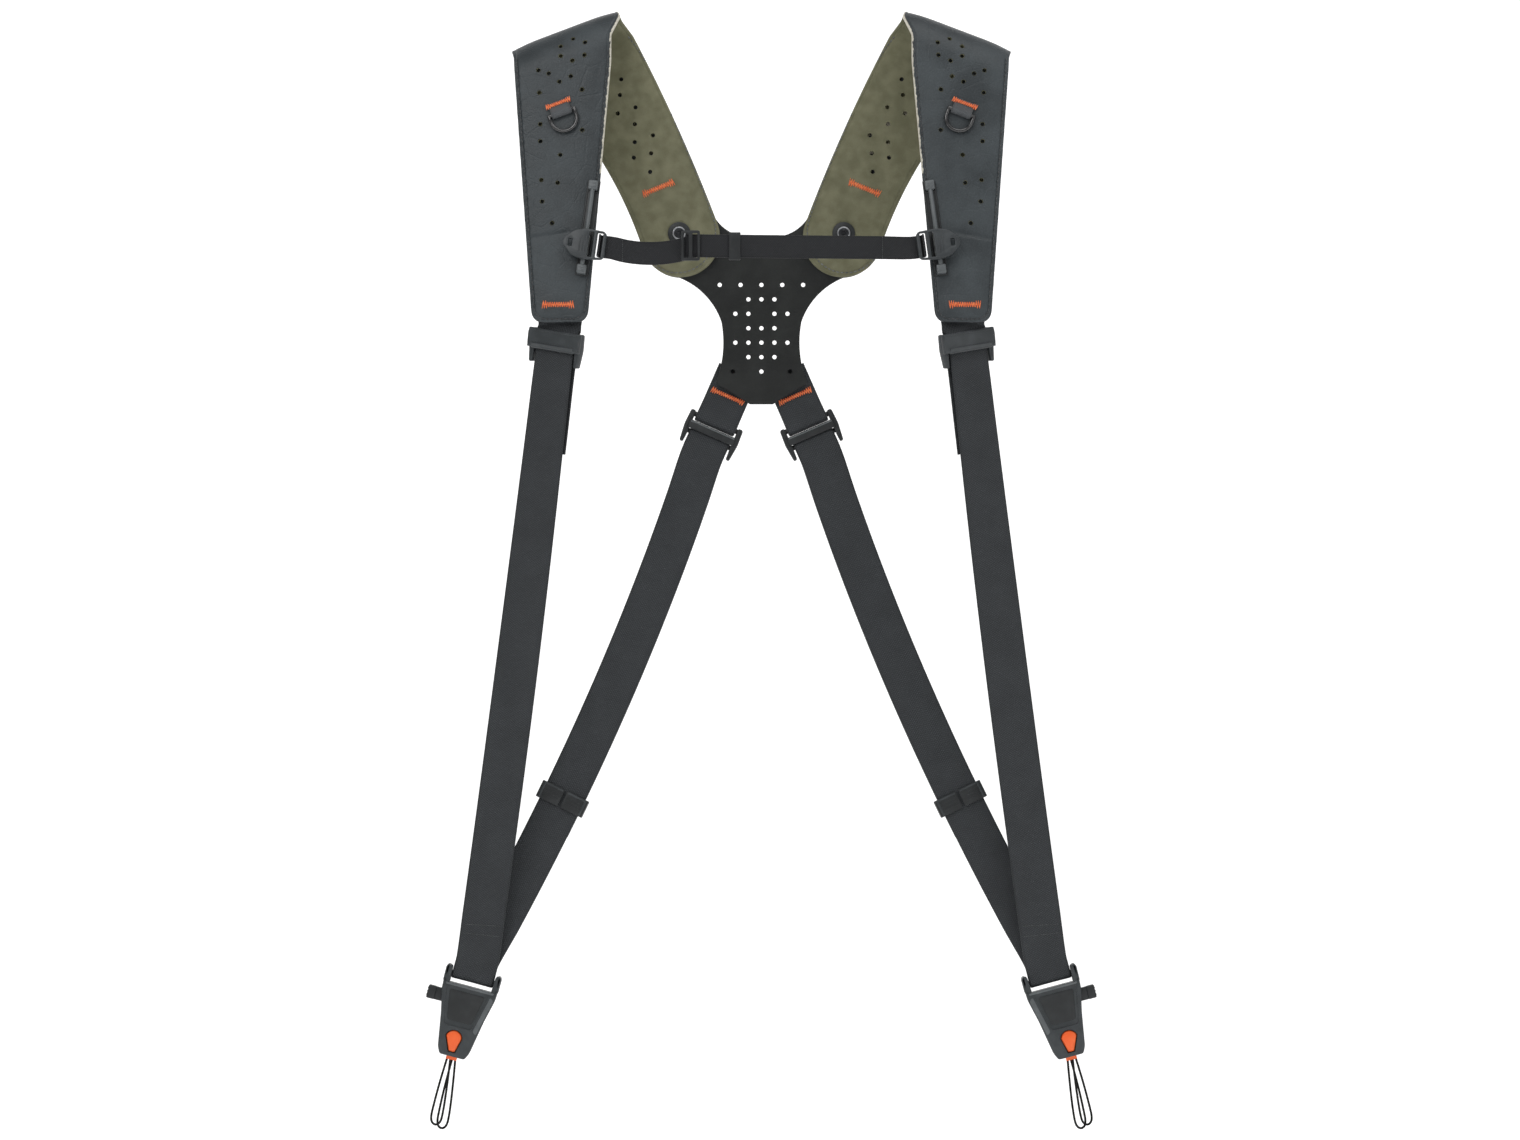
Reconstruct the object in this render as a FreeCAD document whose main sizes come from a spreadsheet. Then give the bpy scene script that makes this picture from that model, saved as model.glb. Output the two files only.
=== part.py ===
"""Two-shoulder carrying harness for binoculars or a camera, in millimetres.

+X is the wearer's left, -Y is the front and +Z is up. The origin lies between the two shoulder
folds, level with their outer ends. Every side piece is described once, in distances outward from
the middle plane, and made twice: side -1 at negative X and side +1 at positive X.
"""
import FreeCAD, Part
import math
import os
import re
import Sketcher

V = FreeCAD.Vector
OUT = "parts"
SIDES = {"left": -1, "right": 1}

# Every driving dimension: alias, size in millimetres or degrees.
SIZES = {
    # Shoulder pads
    "fold_out": 175.4, "fold_wide": 80.0, "fold_slope": 20.7, "fold_radius": 20.0,
    "front_lean": 10.0, "lining_thick": 1.2, "foam_thick": 2.4, "leather_thick": 1.6,
    "front_length": 193.0, "front_middle": 139.7, "front_end_wide": 40.0, "front_top_wide": 70.0,
    "front_corner": 9.0, "pivot_out": 58.0, "pivot_drop": 126.6, "rear_end_radius": 28.0,
    # Pivots
    "washer_radius": 8.0, "washer_thick": 1.5, "barrel_radius": 3.5, "flange_radius": 8.5,
    "flange_thick": 1.6, "screw_head_radius": 4.4, "screw_head_tall": 2.2, "shank_radius": 1.8,
    "hex_across": 3.0, "running_gap": 0.08, "swing_gap": 0.6, "layer_gap": 0.4, "fit_gap": 0.06,
    # Yoke
    "yoke_thick": 2.4, "yoke_top_drop": 128.5, "yoke_waist": 27.3, "yoke_bottom_drop": 247.0,
    "yoke_wing_radius": 26.0, "yoke_bottom_half": 8.0, "hole_radius": 1.5, "hole_pitch": 9.2,
    "row_pitch": 10.2,
    # Webbing and its ladder locks
    "webbing_wide": 30.0, "webbing_thick": 1.5, "bar_radius": 1.8, "lock_arm": 4.2,
    "lock_gap": 1.2, "lock_tall": 24.0, "lock_thick": 6.0, "front_cover_tall": 13.5,
    "front_cover_stand": 2.2,
    "rear_cover_tall": 2.6, "loop_gap": 1.1, "loop_rise": 2.2, "front_turn": 27.0,
    "turn_gap": 0.15, "straight_run": 14.0,
    "front_bar_out": 141.0, "front_bar_drop": 200.5, "rear_bar_out": 32.0,
    "rear_bar_drop": 260.0, "front_tail": 70.0, "rear_tail": 297.0,
    "front_bow": 1.5, "rear_bow": 10.5, "keeper_along": 287.0, "keeper_tall": 13.0,
    "keeper_wall": 1.6, "slide_gap": 0.6,
    # Connectors
    "connector_out": 202.4, "connector_drop": 650.0, "connector_tilt": 15.0,
    "connector_half": 20.0, "connector_rise": 5.5, "connector_length": 57.0,
    "connector_deep": 5.6, "anchor_wide": 13.0, "anchor_thick": 5.0,
    "button_tall": 10.0, "button_out": 6.0, "button_travel": 2.4, "cord_radius": 0.8,
    # Chest strap and D-rings
    "rail_out": 120.4, "rail_drop": 127.0, "rail_turn": 7.6, "rail_length": 68.0,
    "rail_wide": 9.0, "rail_bar_radius": 1.5, "clip_along": 13.0, "clip_long": 30.0,
    "clip_tall": 22.0, "clip_thick": 3.2, "clip_lift": 7.0, "clip_rim": 2.2, "end_bar": 2.6,
    "chest_wide": 16.0, "chest_thick": 1.4, "glide_out": 49.0, "chest_sag": 4.5,
    "glide_long": 13.0, "chest_keeper_out": 18.5, "ring_out": 139.0, "ring_drop": 46.0,
    "rail_stand": 4.6, "ring_radius": 9.2, "ring_wire": 1.35, "ring_straight": 4.5, "ring_tab_wide": 14.5,
    "ring_tab_thick": 1.2,
}

DOC = FreeCAD.newDocument("harness")
SHEET = DOC.addObject("Spreadsheet::Sheet", "sizes")
PIECES = []


def fill_sheet():
    """One cell with an alias for each driving dimension."""
    for row, (alias, size) in enumerate(SIZES.items(), start=1):
        SHEET.set(f"A{row}", alias)
        SHEET.set(f"B{row}", str(size))
        SHEET.setAlias(f"B{row}", alias)
    DOC.recompute()


def bound(text):
    """The same expression with every alias read from the sheet."""
    return re.sub(r"[a-z][a-z_]+", lambda m: f"sizes.{m[0]}" if m[0] in SIZES else m[0], text)


def num(text):
    """The number that an expression over the sheet gives."""
    return float(SHEET.evalExpression(bound(text)))


def tie(thing, **bindings):
    """Binds each named property to an expression over the sheet."""
    for name, text in bindings.items():
        thing.setExpression(name, bound(text))


# ---- helpers for the rigid pieces ----

def keep(thing, label, place=None):
    """Names a finished piece, puts it in its place and lists it for writing."""
    thing.Label = label
    if place is not None:
        thing.Placement = place
    PIECES.append(thing)
    return thing


def new_body(label, place):
    return keep(DOC.addObject("PartDesign::Body", label), label, place)


def origin_plane(body, role):
    return next(f for f in body.Origin.OriginFeatures if f.Role == role)


def pin_point(sketch, geometry, end, where):
    """Ties one point of a sketch to two expressions."""
    for kind, text in zip(("DistanceX", "DistanceY"), where):
        size = num(text)
        index = sketch.addConstraint(Sketcher.Constraint(kind, -1, 1, geometry, end, size))
        sketch.setExpression(f"Constraints[{index}]", bound(text))


def add_outline(sketch, corners):
    """A closed outline: each corner is (x, y), or (x, y, via) when an arc arrives through via."""
    points = [V(num(c[0]), num(c[1]), 0) for c in corners]
    ids = []
    for i, corner in enumerate(corners):
        start, end = points[i - 1], points[i]
        if len(corner) == 2:
            ids.append(sketch.addGeometry(Part.LineSegment(start, end), False))
            continue
        via = V(num(corner[2][0]), num(corner[2][1]), 0)
        ids.append(sketch.addGeometry(Part.Arc(start, via, end), False))
        mark = sketch.addGeometry(Part.Point(via), True)
        pin_point(sketch, mark, 1, corner[2])
        sketch.addConstraint(Sketcher.Constraint("PointOnObject", mark, 1, ids[-1]))
    for i, corner in enumerate(corners):
        end = arrival(sketch, ids[i], points[i])
        following = ids[(i + 1) % len(ids)]
        start = arrival(sketch, following, points[i])
        sketch.addConstraint(Sketcher.Constraint("Coincident", ids[i], end, following, start))
        pin_point(sketch, ids[i], end, corner[:2])


def arrival(sketch, geometry, point):
    """Which end of a line or arc lies at a point."""
    start, end = sketch.getPoint(geometry, 1), sketch.getPoint(geometry, 2)
    return 1 if (start - point).Length < (end - point).Length else 2


def add_circle(sketch, x, y, radius):
    circle = Part.Circle(V(num(x), num(y), 0), V(0, 0, 1), num(radius))
    index = sketch.addGeometry(circle, False)
    pin_point(sketch, index, 3, (x, y))
    tied = sketch.addConstraint(Sketcher.Constraint("Radius", index, num(radius)))
    sketch.setExpression(f"Constraints[{tied}]", bound(radius))


def draw(body, name, role, outlines, circles=()):
    """A sketch on one of the body's own origin planes."""
    sketch = body.newObject("Sketcher::SketchObject", name)
    sketch.AttachmentSupport = [(origin_plane(body, role), "")]
    sketch.MapMode = "FlatFace"
    for corners in outlines:
        add_outline(sketch, corners)
    for circle in circles:
        add_circle(sketch, *circle)
    return sketch


def pad(body, sketch, length, symmetric=False, reverse=False):
    """Extrudes a sketch along its plane's normal."""
    feature = body.newObject("PartDesign::Pad", sketch.Name + "_pad")
    feature.Profile = sketch
    feature.SideType = "Symmetric" if symmetric else "One side"
    feature.Reversed = reverse
    tie(feature, Length=length)
    sketch.Visibility = False
    DOC.recompute()
    return feature


def pocket(body, sketch, length=None, symmetric=False, reverse=False):
    """Cuts a sketch into the body, right through it when no depth is given."""
    before = body.Shape.Volume
    feature = body.newObject("PartDesign::Pocket", sketch.Name + "_pocket")
    feature.Profile = sketch
    feature.Reversed = reverse
    feature.SideType = "Symmetric" if symmetric else "One side"
    if length is None:
        feature.Type = "ThroughAll"
    else:
        tie(feature, Length=length)
    DOC.recompute()
    if not body.Shape.Volume < before - 0.01:
        raise RuntimeError(f"{feature.Name} removes nothing")
    return feature


def box(name, sizes, centre):
    """A box of three bound sizes about a bound centre."""
    thing = DOC.addObject("Part::Box", name)
    tie(thing, Length=sizes[0], Width=sizes[1], Height=sizes[2])
    for axis, size, middle in zip("xyz", sizes, centre):
        tie(thing, **{f"Placement.Base.{axis}": f"({middle}) - ({size}) / 2"})
    return thing


TURNS = {"x": V(0, 1, 0), "y": V(-1, 0, 0), "z": V(0, 0, 1)}
QUARTER = {"x": 90, "y": 90, "z": 0}


def rod(name, axis, radius, length, centre):
    """A cylinder of bound size along a named axis, about a bound centre."""
    thing = DOC.addObject("Part::Cylinder", name)
    tie(thing, Radius=radius, Height=length)
    thing.Placement.Rotation = FreeCAD.Rotation(TURNS[axis], QUARTER[axis])
    for name_of, middle in zip("xyz", centre):
        back = f" - ({length}) / 2" if name_of == axis else ""
        tie(thing, **{f"Placement.Base.{name_of}": f"({middle}){back}"})
    return thing


def fuse(label, things):
    thing = DOC.addObject("Part::MultiFuse", label)
    thing.Shapes = things
    thing.Refine = True
    return thing


def cut(label, base, tool):
    thing = DOC.addObject("Part::Cut", label)
    thing.Base, thing.Tool = base, tool
    thing.Refine = True
    return thing


def feature(label, shape, place=FreeCAD.Placement()):
    """A piece whose shape this script works out itself, in its own frame."""
    thing = DOC.addObject("Part::Feature", label)
    thing.Shape = shape
    return keep(thing, label, place)


# ---- frames ----

def frame(origin, up, across):
    """A placement whose Z runs along up and whose X runs close to across."""
    return FreeCAD.Placement(origin, FreeCAD.Rotation(across, V(), up, "ZXY"))


def across_turned(side, degrees):
    """The level direction across something that faces outward by some degrees."""
    turn = math.radians(degrees)
    return V(math.cos(turn), side * math.sin(turn), 0)


PAD_THICK = "(lining_thick + foam_thick + leather_thick)"


def fold_axes(side):
    """Along the fold towards the neck, and straight up from the fold, both in the XZ plane."""
    slope = math.radians(num("fold_slope"))
    neckward = V(-side * math.cos(slope), 0, math.sin(slope))
    upward = V(side * math.sin(slope), 0, math.cos(slope))
    return neckward, upward


def panel_point(side, out, drop):
    """The point of the front panel's outer face at a distance out and down."""
    neckward, upward = fold_axes(side)
    radius = num(f"fold_radius + {PAD_THICK}")
    lean = math.radians(num("front_lean"))
    from_fold = V(side * (out - num("fold_out")), 0, -drop)
    depth = -from_fold.dot(upward)
    y = -radius * math.cos(lean) - math.tan(lean) * (depth - radius * (1 - math.sin(lean)))
    return V(side * out, y, -drop)


def panel_axes(side):
    """The panel's own across, up and outward directions."""
    neckward, upward = fold_axes(side)
    lean = math.radians(num("front_lean"))
    across = neckward * -side
    up = upward * math.cos(lean) + V(0, math.sin(lean), 0)
    return across, up, across.cross(up) * -1


def panel_frame(side, out, drop, bottom_out=None, lift=0.0):
    """On the panel: X across, Z up and -Y outward, with the bottom swung out from the vertical.

    Without bottom_out the frame lies along the fold.
    """
    across, up, behind = panel_axes(side)
    outward = behind if behind.y < 0 else behind * -1
    origin = panel_point(side, out, drop) + outward * lift
    if bottom_out is None:
        return frame(origin, up, across)
    swing = math.radians(bottom_out)
    top = panel_point(side, out - math.sin(swing), drop - math.cos(swing))
    return frame(origin, top + outward * lift - origin, across)


def front_bar(side):
    """The middle of the front ladder lock's top bar, in its webbing loop behind the pad's end."""
    face = panel_point(side, num("front_bar_out"), num("front_bar_drop"))
    behind = num(f"{PAD_THICK} / cos(front_lean) + bar_radius + loop_gap + webbing_thick")
    return face + V(0, behind, 0)


def rear_bar(side):
    """The middle of the rear ladder lock's top bar, level with the webbing behind the yoke."""
    depth = yoke_front() + num("yoke_thick + webbing_thick + 0.25")
    return V(side * num("rear_bar_out"), depth, -num("rear_bar_drop"))


def yoke_front():
    return num(f"fold_radius + {PAD_THICK} + layer_gap")


def connector_bar(side):
    return V(side * num("connector_out"), 0, -num("connector_drop"))


def connector_axes(side):
    """Across and up along the tilted connector."""
    tilt = math.radians(num("connector_tilt"))
    return V(math.cos(tilt), 0, side * math.sin(tilt)), V(-side * math.sin(tilt), 0, math.cos(tilt))


# ---- webbing ----

def ribbon(stations, wide, thick):
    """A band of webbing through stations of (middle, direction across)."""
    points = [point for point, _ in stations]
    sections = []
    for i, (point, across) in enumerate(stations):
        along = points[min(i + 1, len(points) - 1)] - points[max(i - 1, 0)]
        along.normalize()
        half_wide = (across - along * across.dot(along)).normalize() * (wide / 2)
        half_thick = along.cross(half_wide).normalize() * (thick / 2)
        corners = [point + half_wide * a + half_thick * b for a, b in
                   ((1, 1), (1, -1), (-1, -1), (-1, 1), (1, 1))]
        sections.append(Part.makePolygon(corners))
    return Part.makeLoft(sections, True, True)


def around(centre, start, along, degrees, step=30.0):
    """Points on an arc about centre that begins at start and heads along."""
    arm = start - centre
    ahead = V(along).normalize() * arm.Length
    count = max(1, round(abs(degrees) / step))
    angles = [math.radians(degrees * i / count) for i in range(count + 1)]
    return [centre + arm * math.cos(a) + ahead * math.sin(a) for a in angles]


def bowed(top, bottom, bow, steps):
    """Points from top to bottom on a shallow curve that bows towards the middle plane by bow."""
    inward = -1 if top.x > 0 else 1
    line = bottom - top
    return [top + line * t + V(inward * bow * 4 * t * (1 - t), 0, 0)
            for t in (i / steps for i in range(steps + 1))]


# ---- shoulder pads ----

def flat_outline(side, corners):
    """A face in the XZ plane from (out, height) corners; a third item is an arc's middle point."""
    def at(pair):
        return V(side * pair[0], 0, pair[1])
    edges = []
    for i, corner in enumerate(corners):
        start, end = at(corners[i - 1]), at(corner)
        if len(corner) == 3:
            edges.append(Part.Arc(start, at(corner[2]), end).toShape())
        else:
            edges.append(Part.LineSegment(start, end).toShape())
    return Part.Face(Part.Wire(edges))


def bulged(start, end, bulge):
    """The middle point of an arc from start to end that stands bulge to the left of the chord."""
    dx, dz = end[0] - start[0], end[1] - start[1]
    long = math.hypot(dx, dz)
    return ((start[0] + end[0]) / 2 - dz / long * bulge, (start[1] + end[1]) / 2 + dx / long * bulge)


def fold_end(along, above):
    """(out, height) of a point along the fold from its outer end and above it."""
    slope = math.radians(num("fold_slope"))
    return (num("fold_out") - along * math.cos(slope) + above * math.sin(slope),
            along * math.sin(slope) + above * math.cos(slope))


def front_outline():
    """The front panel: nearly straight sides that taper down to a rounded end."""
    middle, half, top_half = num("front_middle"), num("front_end_wide / 2"), num("front_top_wide / 2")
    corner, length, wide = num("front_corner"), num("front_length"), num("fold_wide")
    round_off = corner * (1 - math.sqrt(0.5))
    shoulder, low = -(length - corner), -length
    return [fold_end(0, 5), fold_end(0, -6), (middle + half, shoulder),
            (middle + half - corner, low, (middle + half - round_off, low + round_off)),
            (middle - half + corner, low),
            (middle - half, shoulder, (middle - half + round_off, low + round_off)),
            (middle - top_half, -0.05 * length), (middle - top_half, 0.05 * length),
            fold_end(wide, -6), fold_end(wide, 5)]


def rear_outline():
    """The rear part: it curves in to a round end about the pivot."""
    radius = num("rear_end_radius")
    middle = (num("pivot_out - 1"), -num("pivot_drop + 3"))
    neck_side = (middle[0] - 0.951 * radius, middle[1] + 0.309 * radius)
    arm_side = (middle[0] + 0.966 * radius, middle[1] - 0.259 * radius)
    neck_start = fold_end(num("fold_wide"), -6)
    arm_start = fold_end(0, -6)
    neck_turn = (neck_start[0] - 8, neck_start[1] - 10)
    return [fold_end(num("fold_wide"), 5), neck_start, neck_turn,
            (*neck_side, bulged(neck_turn, neck_side, -2.3)),
            (*arm_side, (middle[0], middle[1] - radius)),
            (*arm_start, bulged(arm_side, arm_start, 11)), fold_end(0, 5)]


def fold_strip(side, inner, outer):
    """A band over the shoulder between two radii: rear plane, round fold and leaning front plane."""
    neckward, upward = fold_axes(side)
    lean, margin = math.radians(num("front_lean")), num("fold_wide")
    corner = V(side * num("fold_out"), 0, 0) - neckward * margin
    middle = num(f"fold_radius + {PAD_THICK}")
    rear_long, front_long = 2 * num("pivot_drop"), 1.3 * num("front_length")

    def edge(radius):
        places = [(radius, middle + rear_long), (radius, middle), (0, middle - radius),
                  (-radius * math.cos(lean), middle - radius * math.sin(lean))]
        end = places[-1]
        places.append((end[0] - front_long * math.sin(lean), end[1] + front_long * math.cos(lean)))
        return [corner + V(0, y, 0) - upward * depth for y, depth in places]
    out, back = edge(outer), edge(inner)
    edges = [Part.LineSegment(out[0], out[1]), Part.Arc(*out[1:4]), Part.LineSegment(out[3], out[4]),
             Part.LineSegment(out[4], back[4]), Part.LineSegment(back[4], back[3]),
             Part.Arc(back[3], back[2], back[1]), Part.LineSegment(back[1], back[0]),
             Part.LineSegment(back[0], out[0])]
    face = Part.Face(Part.Wire([e.toShape() for e in edges]))
    return face.extrude(neckward * (3 * margin))


def make_pad(word, side):
    """Three layers of one pad, each cut to the same outline and bored for the pivot."""
    front = flat_outline(side, front_outline()).extrude(V(0, -2 * num("front_length"), 0))
    rear = flat_outline(side, rear_outline()).extrude(V(0, 2 * num("front_length"), 0))
    bore = Part.makeCylinder(num("barrel_radius + running_gap"), num("front_length"),
                             V(side * num("pivot_out"), 0, -num("pivot_drop")), V(0, 1, 0))
    inner = num("fold_radius")
    for name in ("lining", "foam", "leather"):
        outer = inner + num(f"{name}_thick")
        strip = fold_strip(side, inner, outer)
        layer = strip.common(front).fuse(strip.common(rear)).removeSplitter().cut(bore)
        feature(f"{word}_pad_{name}", layer)
        inner = outer


# ---- yoke and pivots ----

# Rows of holes down the yoke, as steps of hole_pitch from the middle.
HOLE_ROWS = [(-3.2, -1.6, 0, 1.6, 3.2), (-1, 0, 1), (-2, -1, 1, 2), (-1, 0, 1), (-2, -1, 0, 1, 2),
             (-1, 0, 1), (-2.2, 0, 2.2)]


def yoke_side(side):
    """One side of the yoke's outline, from its top notch round the wing to its bottom corner."""
    wing = "pivot_out + yoke_wing_radius"
    corners = [("yoke_waist + 7", "-(yoke_top_drop - 16)", ("yoke_waist - 4", "-(yoke_top_drop - 4)")),
               ("pivot_out - 6", "-(pivot_drop - yoke_wing_radius + 3)"),
               ("pivot_out", "-(pivot_drop + yoke_wing_radius + 5)", (wing, "-(pivot_drop + 5)")),
               ("yoke_waist + 1", "-(pivot_drop + 62)", ("yoke_waist + 10", "-(pivot_drop + 46)")),
               ("yoke_waist + 5", "-(yoke_bottom_drop - 15)", ("yoke_waist", "-(yoke_bottom_drop - 36)")),
               ("yoke_bottom_half", "-yoke_bottom_drop")]
    def flipped(corner):
        return (f"{side} * ({corner[0]})", corner[1])
    return [(*flipped(c), flipped(c[2])) if len(c) == 3 else flipped(c) for c in corners]


def reversed_outline(corners):
    """The same run of corners walked the other way, with each arc arriving at its other end."""
    arcs = [c[2] if len(c) == 3 else None for c in corners][1:] + [None]
    return [(c[0], c[1], arc) if arc else c[:2] for c, arc in zip(corners, arcs)][::-1]


def make_yoke():
    right, left = yoke_side(1), yoke_side(-1)
    top_left = reversed_outline(left)
    start = ("-12", "-yoke_top_drop", left[0][2])
    corners = [("12", "-yoke_top_drop")] + right + top_left + [start]
    holes = [(f"{step} * hole_pitch", f"-(pivot_drop + 36 + {row} * row_pitch)", "hole_radius")
             for row, steps in enumerate(HOLE_ROWS) for step in steps]
    holes += [(f"{side} * pivot_out", "-pivot_drop", "barrel_radius + fit_gap") for side in (-1, 1)]
    middle = V(0, yoke_front() + num("yoke_thick / 2"), 0)
    body = new_body("yoke", FreeCAD.Placement(middle, FreeCAD.Rotation()))
    pad(body, draw(body, "yoke_outline", "XZ_Plane", [corners], holes), "yoke_thick", symmetric=True)


def make_pivots():
    """The two swivels: barrel nut from behind, washer and socket screw from the front."""
    back = num("yoke_thick") + yoke_front()
    washer_front = num("fold_radius - layer_gap - washer_thick")
    barrels, washers, screws = [], [], []
    for word, side in SIDES.items():
        out = f"{side} * pivot_out"
        low = "-pivot_drop"
        span = back - washer_front - 0.2
        middle = back - span / 2
        flange = rod(f"{word}_flange", "y", "flange_radius", "flange_thick",
                     (out, f"{back} + flange_thick / 2", low))
        barrel = rod(f"{word}_barrel", "y", "barrel_radius", f"{span}", (out, f"{middle}", low))
        bore = rod(f"{word}_bore", "y", "shank_radius + fit_gap", f"{span + 20}", (out, f"{middle}", low))
        barrels.append(cut(f"{word}_nut", fuse(f"{word}_nut_blank", [barrel, flange]), bore))
        disc = rod(f"{word}_disc", "y", "washer_radius", "washer_thick",
                   (out, f"{washer_front} + washer_thick / 2", low))
        hole = rod(f"{word}_washer_hole", "y", "barrel_radius + fit_gap", "washer_thick * 3",
                   (out, f"{washer_front} + washer_thick / 2", low))
        washers.append(cut(f"{word}_washer", disc, hole))
        head = rod(f"{word}_head", "y", "screw_head_radius", "screw_head_tall",
                   (out, f"{washer_front} - screw_head_tall / 2", low))
        shank = rod(f"{word}_shank", "y", "shank_radius", f"{span}", (out, f"{middle}", low))
        socket = DOC.addObject("Part::Prism", f"{word}_socket")
        tie(socket, Circumradius="hex_across / 2 / cos(30)", Height="screw_head_tall")
        socket.Placement = FreeCAD.Placement(
            V(num(out), washer_front - num("screw_head_tall * 0.4"), num(low)),
            FreeCAD.Rotation(V(1, 0, 0), 90))
        screws.append(cut(f"{word}_screw", fuse(f"{word}_screw_blank", [head, shank]), socket))
    for label, group in (("pivot_nuts", barrels), ("pivot_washers", washers), ("pivot_screws", screws)):
        keep(compound(label, group), label)


def compound(label, things):
    thing = DOC.addObject("Part::Compound", label)
    thing.Links = things
    return thing


# ---- ladder locks and straps ----

LOCK_HALF = "(webbing_wide / 2 + lock_gap)"
LADDER_DROP = "(bar_radius + loop_gap + webbing_thick + 8)"


def ladder_lock(label, place, tall, top, stand):
    """Top bar for a sewn loop, two arms, a ladder bar to turn the strap on and a cover plate.

    The plate is so tall, its upper edge is at top and it stands so far out from the arms.
    """
    wide = f"({LOCK_HALF} + lock_arm) * 2"
    level = f"{top} - ({tall}) / 2"
    arms = [box(f"{label}_arm_{i}", ("lock_arm", "lock_thick", "lock_tall"),
                (f"{i} * ({LOCK_HALF} + lock_arm / 2)", "0", "bar_radius + 0.6 - lock_tall / 2"))
            for i in (-1, 1)]
    cheeks = [box(f"{label}_cheek_{i}", ("lock_arm", f"{stand} + 1", tall),
                  (f"{i} * ({LOCK_HALF} + lock_arm / 2)", f"-(lock_thick + {stand}) / 2", level))
              for i in (-1, 1)]
    bar = rod(f"{label}_top", "x", "bar_radius", f"{wide} - 1", ("0", "0", "0"))
    ladder = rod(f"{label}_ladder", "x", "bar_radius", f"{wide} - 1",
                 ("0", "lock_thick / 2 - bar_radius", f"-{LADDER_DROP}"))
    cover = box(f"{label}_cover", (wide, "1.6", tall),
                ("0", f"-lock_thick / 2 - {stand} - 0.6", level))
    return keep(fuse(label, arms + cheeks + [bar, ladder, cover]), label, place)


def loop_about(bar, up, across, front_start, rear_start):
    """Stations of a webbing loop: down the front, round under a bar and up behind it."""
    reach = num("bar_radius + loop_gap + webbing_thick / 2")
    behind = up.cross(across)
    arc = around(bar, bar - behind * reach, up * -1, 180)
    rise = up * num("loop_rise")
    points = [arc[0] + rise] + arc + [arc[-1] + rise]
    return front_start + [(point, across) for point in points] + rear_start


def strap_axes(top, bottom, side, turn):
    """Across and up for a strap that hangs between two points and faces outward by turn."""
    up = (top - bottom).normalize()
    level = across_turned(side, turn)
    return (level - up * level.dot(up)).normalize(), up


def make_front_strap(word, side):
    """Sewn tab behind the pad's end, ladder lock and the strap down to the connector."""
    bar, low = front_bar(side), connector_bar(side)
    across, up = strap_axes(bar, low, side, num("front_turn"))
    place = frame(bar, up, across)
    ladder_lock(f"{word}_front_lock", place, "front_cover_tall", "(bar_radius + 0.6)", "front_cover_stand")
    feature(f"{word}_pad_tab", pad_tab(side, bar, up, across))
    level = across_turned(side, 0)
    ladder = place.multVec(V(0, num("lock_thick / 2 - bar_radius"), -num(LADDER_DROP)))
    below = place.multVec(V(0, ladder_front(), -num(f"{LADDER_DROP} + straight_run")))
    hook = connector_hook(side, -1, num("turn_gap"))
    route = bowed(below, hook[0][0], num("front_bow"), 8)[1:-1]
    stations = turned_top(place, ladder, across, "front_tail", route)
    for i, point in enumerate(route, start=1):
        share = min(1.0, 1.4 * i / len(route))
        stations.append((point, (across * (1 - share) + level * share).normalize()))
    feature(f"{word}_front_strap", ribbon(stations + hook, *webbing()))


def webbing():
    return num("webbing_wide"), num("webbing_thick")


def ladder_front():
    """Where a strap runs, in front of the ladder bar that it turns on."""
    return num("lock_thick / 2 - bar_radius") - num("bar_radius + webbing_thick / 2 + turn_gap")


def turned_top(place, ladder, across, tail, route):
    """A strap's tail behind its own run, its turn over the ladder bar and its start down in front."""
    behind = place.Rotation.multVec(V(0, 1, 0))
    up = place.Rotation.multVec(V(0, 0, 1))
    reach = num("bar_radius + webbing_thick / 2 + turn_gap")
    start = ladder + behind * reach
    long = num(tail)
    run = [start - up * num("straight_run")] + [point + behind * (2 * reach) for point in route]
    kept = [point for point in run if (point - start).Length < long - 1]
    last, following = kept[-1], run[len(kept)]
    kept.append(last + (following - last).normalize() * (long - (last - start).Length))
    points = kept[::-1] + around(ladder, start, up, 180)
    return [(point, across) for point in points + [ladder - behind * reach - up * num("straight_run")]]


def connector_hook(side, facing, gap):
    """The end of a strap at the connector: straight for a way, then a quarter turn under the bar."""
    across, up = connector_axes(side)
    bar = connector_bar(side)
    reach = num("bar_radius + webbing_thick / 2") + gap
    start = bar + V(0, facing * reach, 0)
    arc = around(bar, start, up * -1, 84)
    return [(start + up * 12, across), (start + up * 4, across)] + [(p, across) for p in arc]


def pad_tab(side, bar, up, across):
    """The folded webbing that holds the front ladder lock, sewn behind the end of the pad."""
    level = panel_axes(side)[2].cross(V(0, 0, 1)).normalize()
    drop = num("front_length")
    first = num(f"{PAD_THICK} / cos(front_lean) + webbing_thick / 2 + 0.4")
    second = first + num("webbing_thick + 0.2")

    def behind_panel(height, depth):
        return panel_point(side, num("front_middle"), height) + V(0, depth, 0)
    front = [(behind_panel(drop - 22, first), level), (behind_panel(drop + 0.3, first), level)]
    rear = [(behind_panel(drop + 0.3, second), level), (behind_panel(drop - 22, second), level)]
    return ribbon(loop_about(bar, up, across, front, rear), *webbing())


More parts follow.
